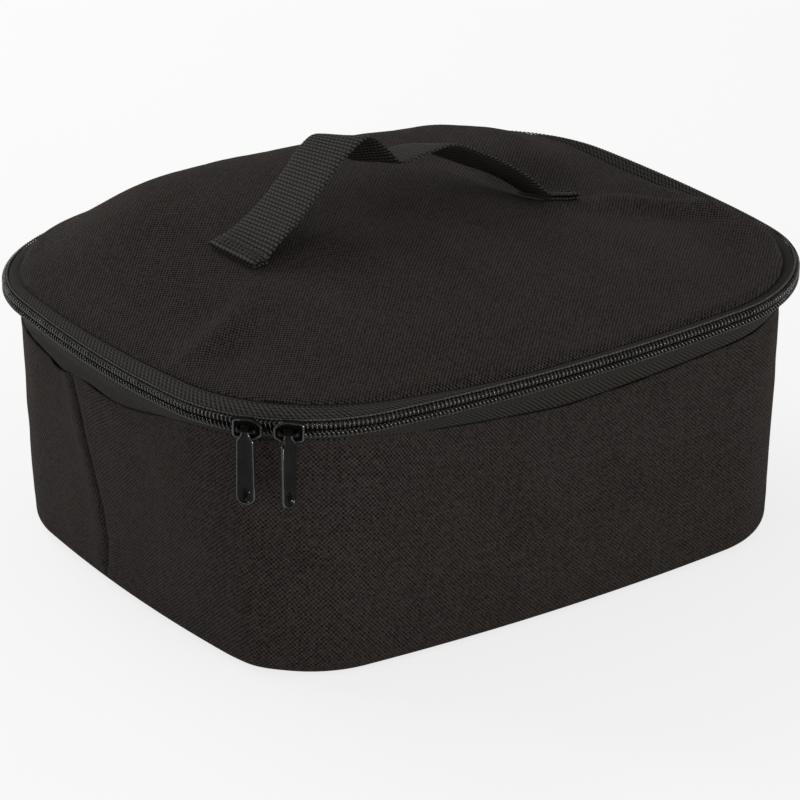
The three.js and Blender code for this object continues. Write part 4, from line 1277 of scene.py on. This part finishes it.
PULL_LENGTH = 39.0
PULL_WIDTH = 9.5
PULL_THICKNESS = 1.8
ROUND_STEPS = 24


def pull_parts():
    """A hanging tag with a bevelled rim and a hole at its foot, on a barrel that turns on the bail."""
    half, low = PULL_WIDTH / 2, -PULL_LENGTH
    ring = rounded([
        (-half, low), (half, low), (half - 0.5, -6.2), (2.2, -3), (1.7, -0.6), (-1.7, -0.6), (-2.2, -3),
        (-half + 0.5, -6.2),
    ], [4.2, 4.2, 3, 1.4, 0.4, 0.4, 1.4, 3])
    back, front = PIN_OUT - PULL_THICKNESS / 2, PIN_OUT + PULL_THICKNESS / 2
    tag = stack(ring, [
        (0.7, back), (0.2, back + 0.15), (0, back + 0.5), (0, front - 0.7), (0.2, front - 0.3), (0.6, front),
        (1.0, front - 0.05), (1.35, front - 0.3), (1.7, front - 0.4)])
    turn = np.arange(ROUND_STEPS) / ROUND_STEPS * 2 * math.pi
    oval = np.column_stack([1.9 * np.cos(turn), low + 5.2 + 2.7 * np.sin(turn)])
    eyelet = stack(oval, [(0, front - 0.6), (0, front - 0.3), (0.25, front - 0.1), (0.6, front - 0.3)])
    # The hole is painted dark, as the shade inside it, and so is the barrel below.
    hole = stack(oval, [(0.5, front - 0.6), (0.5, front - 0.26)])
    barrel = []
    for x, outer in ((-2.0, 1.4), (-1.8, 1.6), (-1.2, 1.65), (1.2, 1.65), (1.8, 1.6), (2.0, 1.4), (2.0, 1.1),
                     (0, 1.05), (-2.0, 1.1), (-2.0, 1.4)):
        y, z = PIN_OUT + outer * np.cos(turn), outer * np.sin(turn)
        barrel.append(np.column_stack([np.full(ROUND_STEPS, x), y, z]))
    points, faces, _ = loft(barrel, True, flip=True)
    count = len(points) - ROUND_STEPS
    sleeve = (points[:count], faces % count)
    # A thin rim round the tag, painted light as a highlight.
    shine = stack(ring, [(-0.02, front - 0.6), (0.25, front - 0.05), (0.55, front + 0.03)], False)
    hem = stack(oval, [(-0.5, front - 0.35), (-0.2, front - 0.05), (0.1, front - 0.2)], False)
    return [tag, eyelet, hem], [hole, sleeve], [shine]


def twisted(points, degrees):
    """A pull's points with its tag turned about its own long line, under its neck."""
    turn = np.radians(degrees) * smoothstep((-points[:, 2] - 2) / 7)
    out = points[:, 1] - PIN_OUT
    x = points[:, 0] * np.cos(turn) - out * np.sin(turn)
    y = points[:, 0] * np.sin(turn) + out * np.cos(turn)
    return np.column_stack([x, y + PIN_OUT, points[:, 2]])


CORNER_X, CORNER_Y = arcs_of(RIM)[4:6]


def placed(points, at, turned):
    """Points made in a slider's own frame, set on the front left corner this many degrees round it."""
    if turned:
        points = points * [-1, 1, -1]
    angle = math.radians(at)
    turn = math.pi / 2 + angle
    x = points[:, 0] * math.cos(turn) - points[:, 1] * math.sin(turn) - CORNER_X - RIM[2] * math.cos(angle)
    y = points[:, 0] * math.sin(turn) + points[:, 1] * math.cos(turn) - CORNER_Y - RIM[2] * math.sin(angle)
    return np.column_stack([x, y, points[:, 2] + ZIP_HEIGHT])


SPLIT_ANGLE = 50


def metal_piece(name, body_parts, shaded_hollows, highlight_rims, move, body, node):
    """A cast piece of enamelled parts, of hollow places painted dark as shade and of rim bevels painted light
    as highlights, moved into its place.
    """
    points, faces = joined(body_parts + shaded_hollows + highlight_rims)
    made = mesh_piece(name, move(points), faces, None, ENAMEL, body, node)
    made.data.materials.append(HOLLOW_PAINTED_SHADE)
    made.data.materials.append(ENAMEL_PAINTED_HIGHLIGHT)
    kinds = [k for k, parts in enumerate((body_parts, shaded_hollows, highlight_rims)) for _, part in parts for _ in part]
    made.data.polygons.foreach_set("material_index", kinds)
    edge = made.modifiers.new("edges", "EDGE_SPLIT")
    edge.split_angle = math.radians(SPLIT_ANGLE)


SLIDER_DROP = 1.3
PULL_TWIST = {"left": 0, "right": 52}
for side, at in (("left", LEFT_SLIDER_AT), ("right", RIGHT_SLIDER_AT)):
    metal_piece(
        f"{side}_runner", *slider_parts(), lambda p: placed(p, at, side == "left") - SLIDER_DROP * UP,
        f"{side}_slider", f"slider_{side}")
    metal_piece(
        f"{side}_tag", *pull_parts(), lambda p: placed(twisted(p, PULL_TWIST[side]), at, False),
        f"{side}_pull", f"pull_{side}")


# Soft pieces, with the sizes that they were cut to

def cut(name, width, length, held, area_share=None, rests=()):
    """Takes what a sheet was cut to and the share of that rectangle which a shaped cut fills, but does
    nothing with them.
    """
    list(rests)


def length_round(line, span):
    """The length of a loop's stretch between two columns."""
    stretch = line[columns_of(*span) % COLUMNS]
    return np.linalg.norm(np.diff(stretch, axis=0), axis=1).sum()


WALL_HEIGHT = 150.0
LINING_HEIGHT = 134.0
WALL_SHARE = 0.88
LINING_SHARE = 0.9
OVAL_SHARE = 0.87
LOWER_TAPE_WIDTH = 25
UPPER_TAPE_WIDTH = 14
HINGE_WIDTH = 34
NARROW_TAPE = 10.0
FOLDED_TAPE = 14.0
LID_CUT = (362.0, 292.0)
FOOT_CUT = FOOT[:2] - 2 * BOTTOM_INSET
ZIP_LENGTH = length_round(RIM_LINE, ZIP_SPAN)
for side, span in WALLS.items():
    cut(f"{side}_shell", WALL_HEIGHT, length_round(TOP_LINE, span), "stretched", WALL_SHARE)
for side, span in WALLS.items():
    cut(f"{side}_lining", LINING_HEIGHT, length_round(TOP_LINE, span), "stretched", LINING_SHARE)
cut("bottom_cloth", *FOOT_CUT, "laid", OVAL_SHARE, ["bottom_board"])
cut("bottom_film", *FOOT_CUT, "laid", OVAL_SHARE, ["bottom_padding"])
cut("lid_shell", *LID_CUT, "stretched", OVAL_SHARE, ["lid_padding"])
cut("lid_film", *LID_CUT, "stretched", OVAL_SHARE, ["lid_padding"])
cut("zip_tape_below", LOWER_TAPE_WIDTH, ZIP_LENGTH, "stretched")
cut("zip_tape_above", UPPER_TAPE_WIDTH, ZIP_LENGTH, "stretched")
cut("bottom_tape", NARROW_TAPE, length_round(FOOT_LINE, WHOLE_SPAN), "laid", None, ["bottom_film"])
cut("rim_tape", FOLDED_TAPE, length_round(TOP_LINE, WHOLE_SPAN), "folded")
cut("lid_tape", FOLDED_TAPE, length_round(RIM_LINE, WHOLE_SPAN), "folded")
cut("hinge_strip", HINGE_WIDTH, length_round(RIM_LINE, HINGE_SPAN), "stretched")
cut("strap_left", STRAP_WIDTH, strap_run[split], "hung", None, ["strap_end_left"])
cut("strap_right", STRAP_WIDTH, strap_run[-1] - strap_run[split], "hung", None, ["strap_end_right"])
for side, (inner, outer, _) in STRAP_ENDS.items():
    cut(f"strap_end_{side}", STRAP_WIDTH, 2 * abs(outer - inner), "folded", None, ["lid_shell"])


# Stage, light and camera

FLOOR_SIDES = 96
FLOOR_RADIUS = 9.0
FLOOR_HEIGHT = -0.0002
FLOOR_GLOW = 0.78
AMBIENT = 0.5
GLOSS_AMBIENT = 0.2
LIGHTS_AT = Vector((0, 0, 0.1))
SENSOR_WIDTH = 36.0
FOCAL_PIXELS = 4866.18
PICTURE_PIXELS = 800
CAMERA_PLACE = Vector((-1.3038, -1.8666, 1.0900))
CAMERA_AT = Vector((-0.00021, -0.00001, 0.06625))


def facing(name, data, place, target):
    """An object at a place in metres, facing a target."""
    made = bpy.data.objects.new(name, data)
    made.location = place
    made.rotation_mode = "QUATERNION"
    made.rotation_quaternion = (target - Vector(place)).to_track_quat("-Z", "Y")
    bpy.context.scene.collection.objects.link(made)
    return made


def softbox(name, place, size, power):
    lamp = bpy.data.lights.new(name, "AREA")
    lamp.shape = "RECTANGLE"
    lamp.size, lamp.size_y = size
    lamp.energy = power
    facing(name, lamp, place, LIGHTS_AT)


paper, tree, shader, _ = material("floor_paper")
shader.inputs["Base Color"].default_value = (0.9, 0.9, 0.9, 1)
shader.inputs["Roughness"].default_value = 1.0
shader.inputs["Specular IOR Level"].default_value = 0.0
glow = add(tree, "ShaderNodeEmission", {"Color": (1, 1, 1, 1), "Strength": 1.0})
share = maths(tree, "MULTIPLY", add(tree, "ShaderNodeLightPath").outputs["Is Camera Ray"], FLOOR_GLOW)
mixed = add(tree, "ShaderNodeMixShader", {0: share, 1: shader.outputs[0], 2: glow.outputs[0]})
tree.links.new(mixed.outputs[0], tree.nodes["Material Output"].inputs[0])

floor_mesh = bpy.data.meshes.new("floor")
turn = np.arange(FLOOR_SIDES) / FLOOR_SIDES * 2 * math.pi
disc = FLOOR_RADIUS * np.column_stack([np.cos(turn), np.sin(turn)])
floor_mesh.from_pydata(at_height(disc, FLOOR_HEIGHT).tolist(), [], [list(range(FLOOR_SIDES))])
floor_mesh.materials.append(paper)
floor = bpy.data.objects.new("floor", floor_mesh)
bpy.context.scene.collection.objects.link(floor)

world = bpy.data.worlds.new("studio")
bpy.context.scene.world = world
world.use_nodes = True
tree = world.node_tree
tree.nodes.clear()
rays = add(tree, "ShaderNodeLightPath").outputs
strength = maths(tree, "MULTIPLY_ADD", rays["Is Glossy Ray"], GLOSS_AMBIENT - AMBIENT, AMBIENT)
ambient = add(tree, "ShaderNodeBackground", {"Color": (1, 0.99, 0.975, 1), "Strength": strength}).outputs[0]
backdrop = add(tree, "ShaderNodeBackground", {"Color": (1, 1, 1, 1), "Strength": 1.0}).outputs[0]
mixed = add(tree, "ShaderNodeMixShader", {0: rays["Is Camera Ray"], 1: ambient, 2: backdrop})
add(tree, "ShaderNodeOutputWorld", {0: mixed.outputs[0]})

softbox("top", (-0.2, 1.9, 1.6), (1.2, 1.0), 18.5)
softbox("left", (-2.4, -0.2, 0.7), (0.5, 0.5), 8.3)
softbox("rear", (-1.7, 2.4, 1.3), (0.5, 0.5), 17)
softbox("front", (0.5, -2.35, 0.22), (0.8, 0.36), 24.5)

camera_data = bpy.data.cameras.new("camera")
camera_data.sensor_width = SENSOR_WIDTH
camera_data.lens = SENSOR_WIDTH * FOCAL_PIXELS / PICTURE_PIXELS
camera_data.clip_end = 100
bpy.context.scene.camera = facing("camera", camera_data, CAMERA_PLACE, CAMERA_AT)
bpy.context.scene.view_settings.view_transform = "Standard"
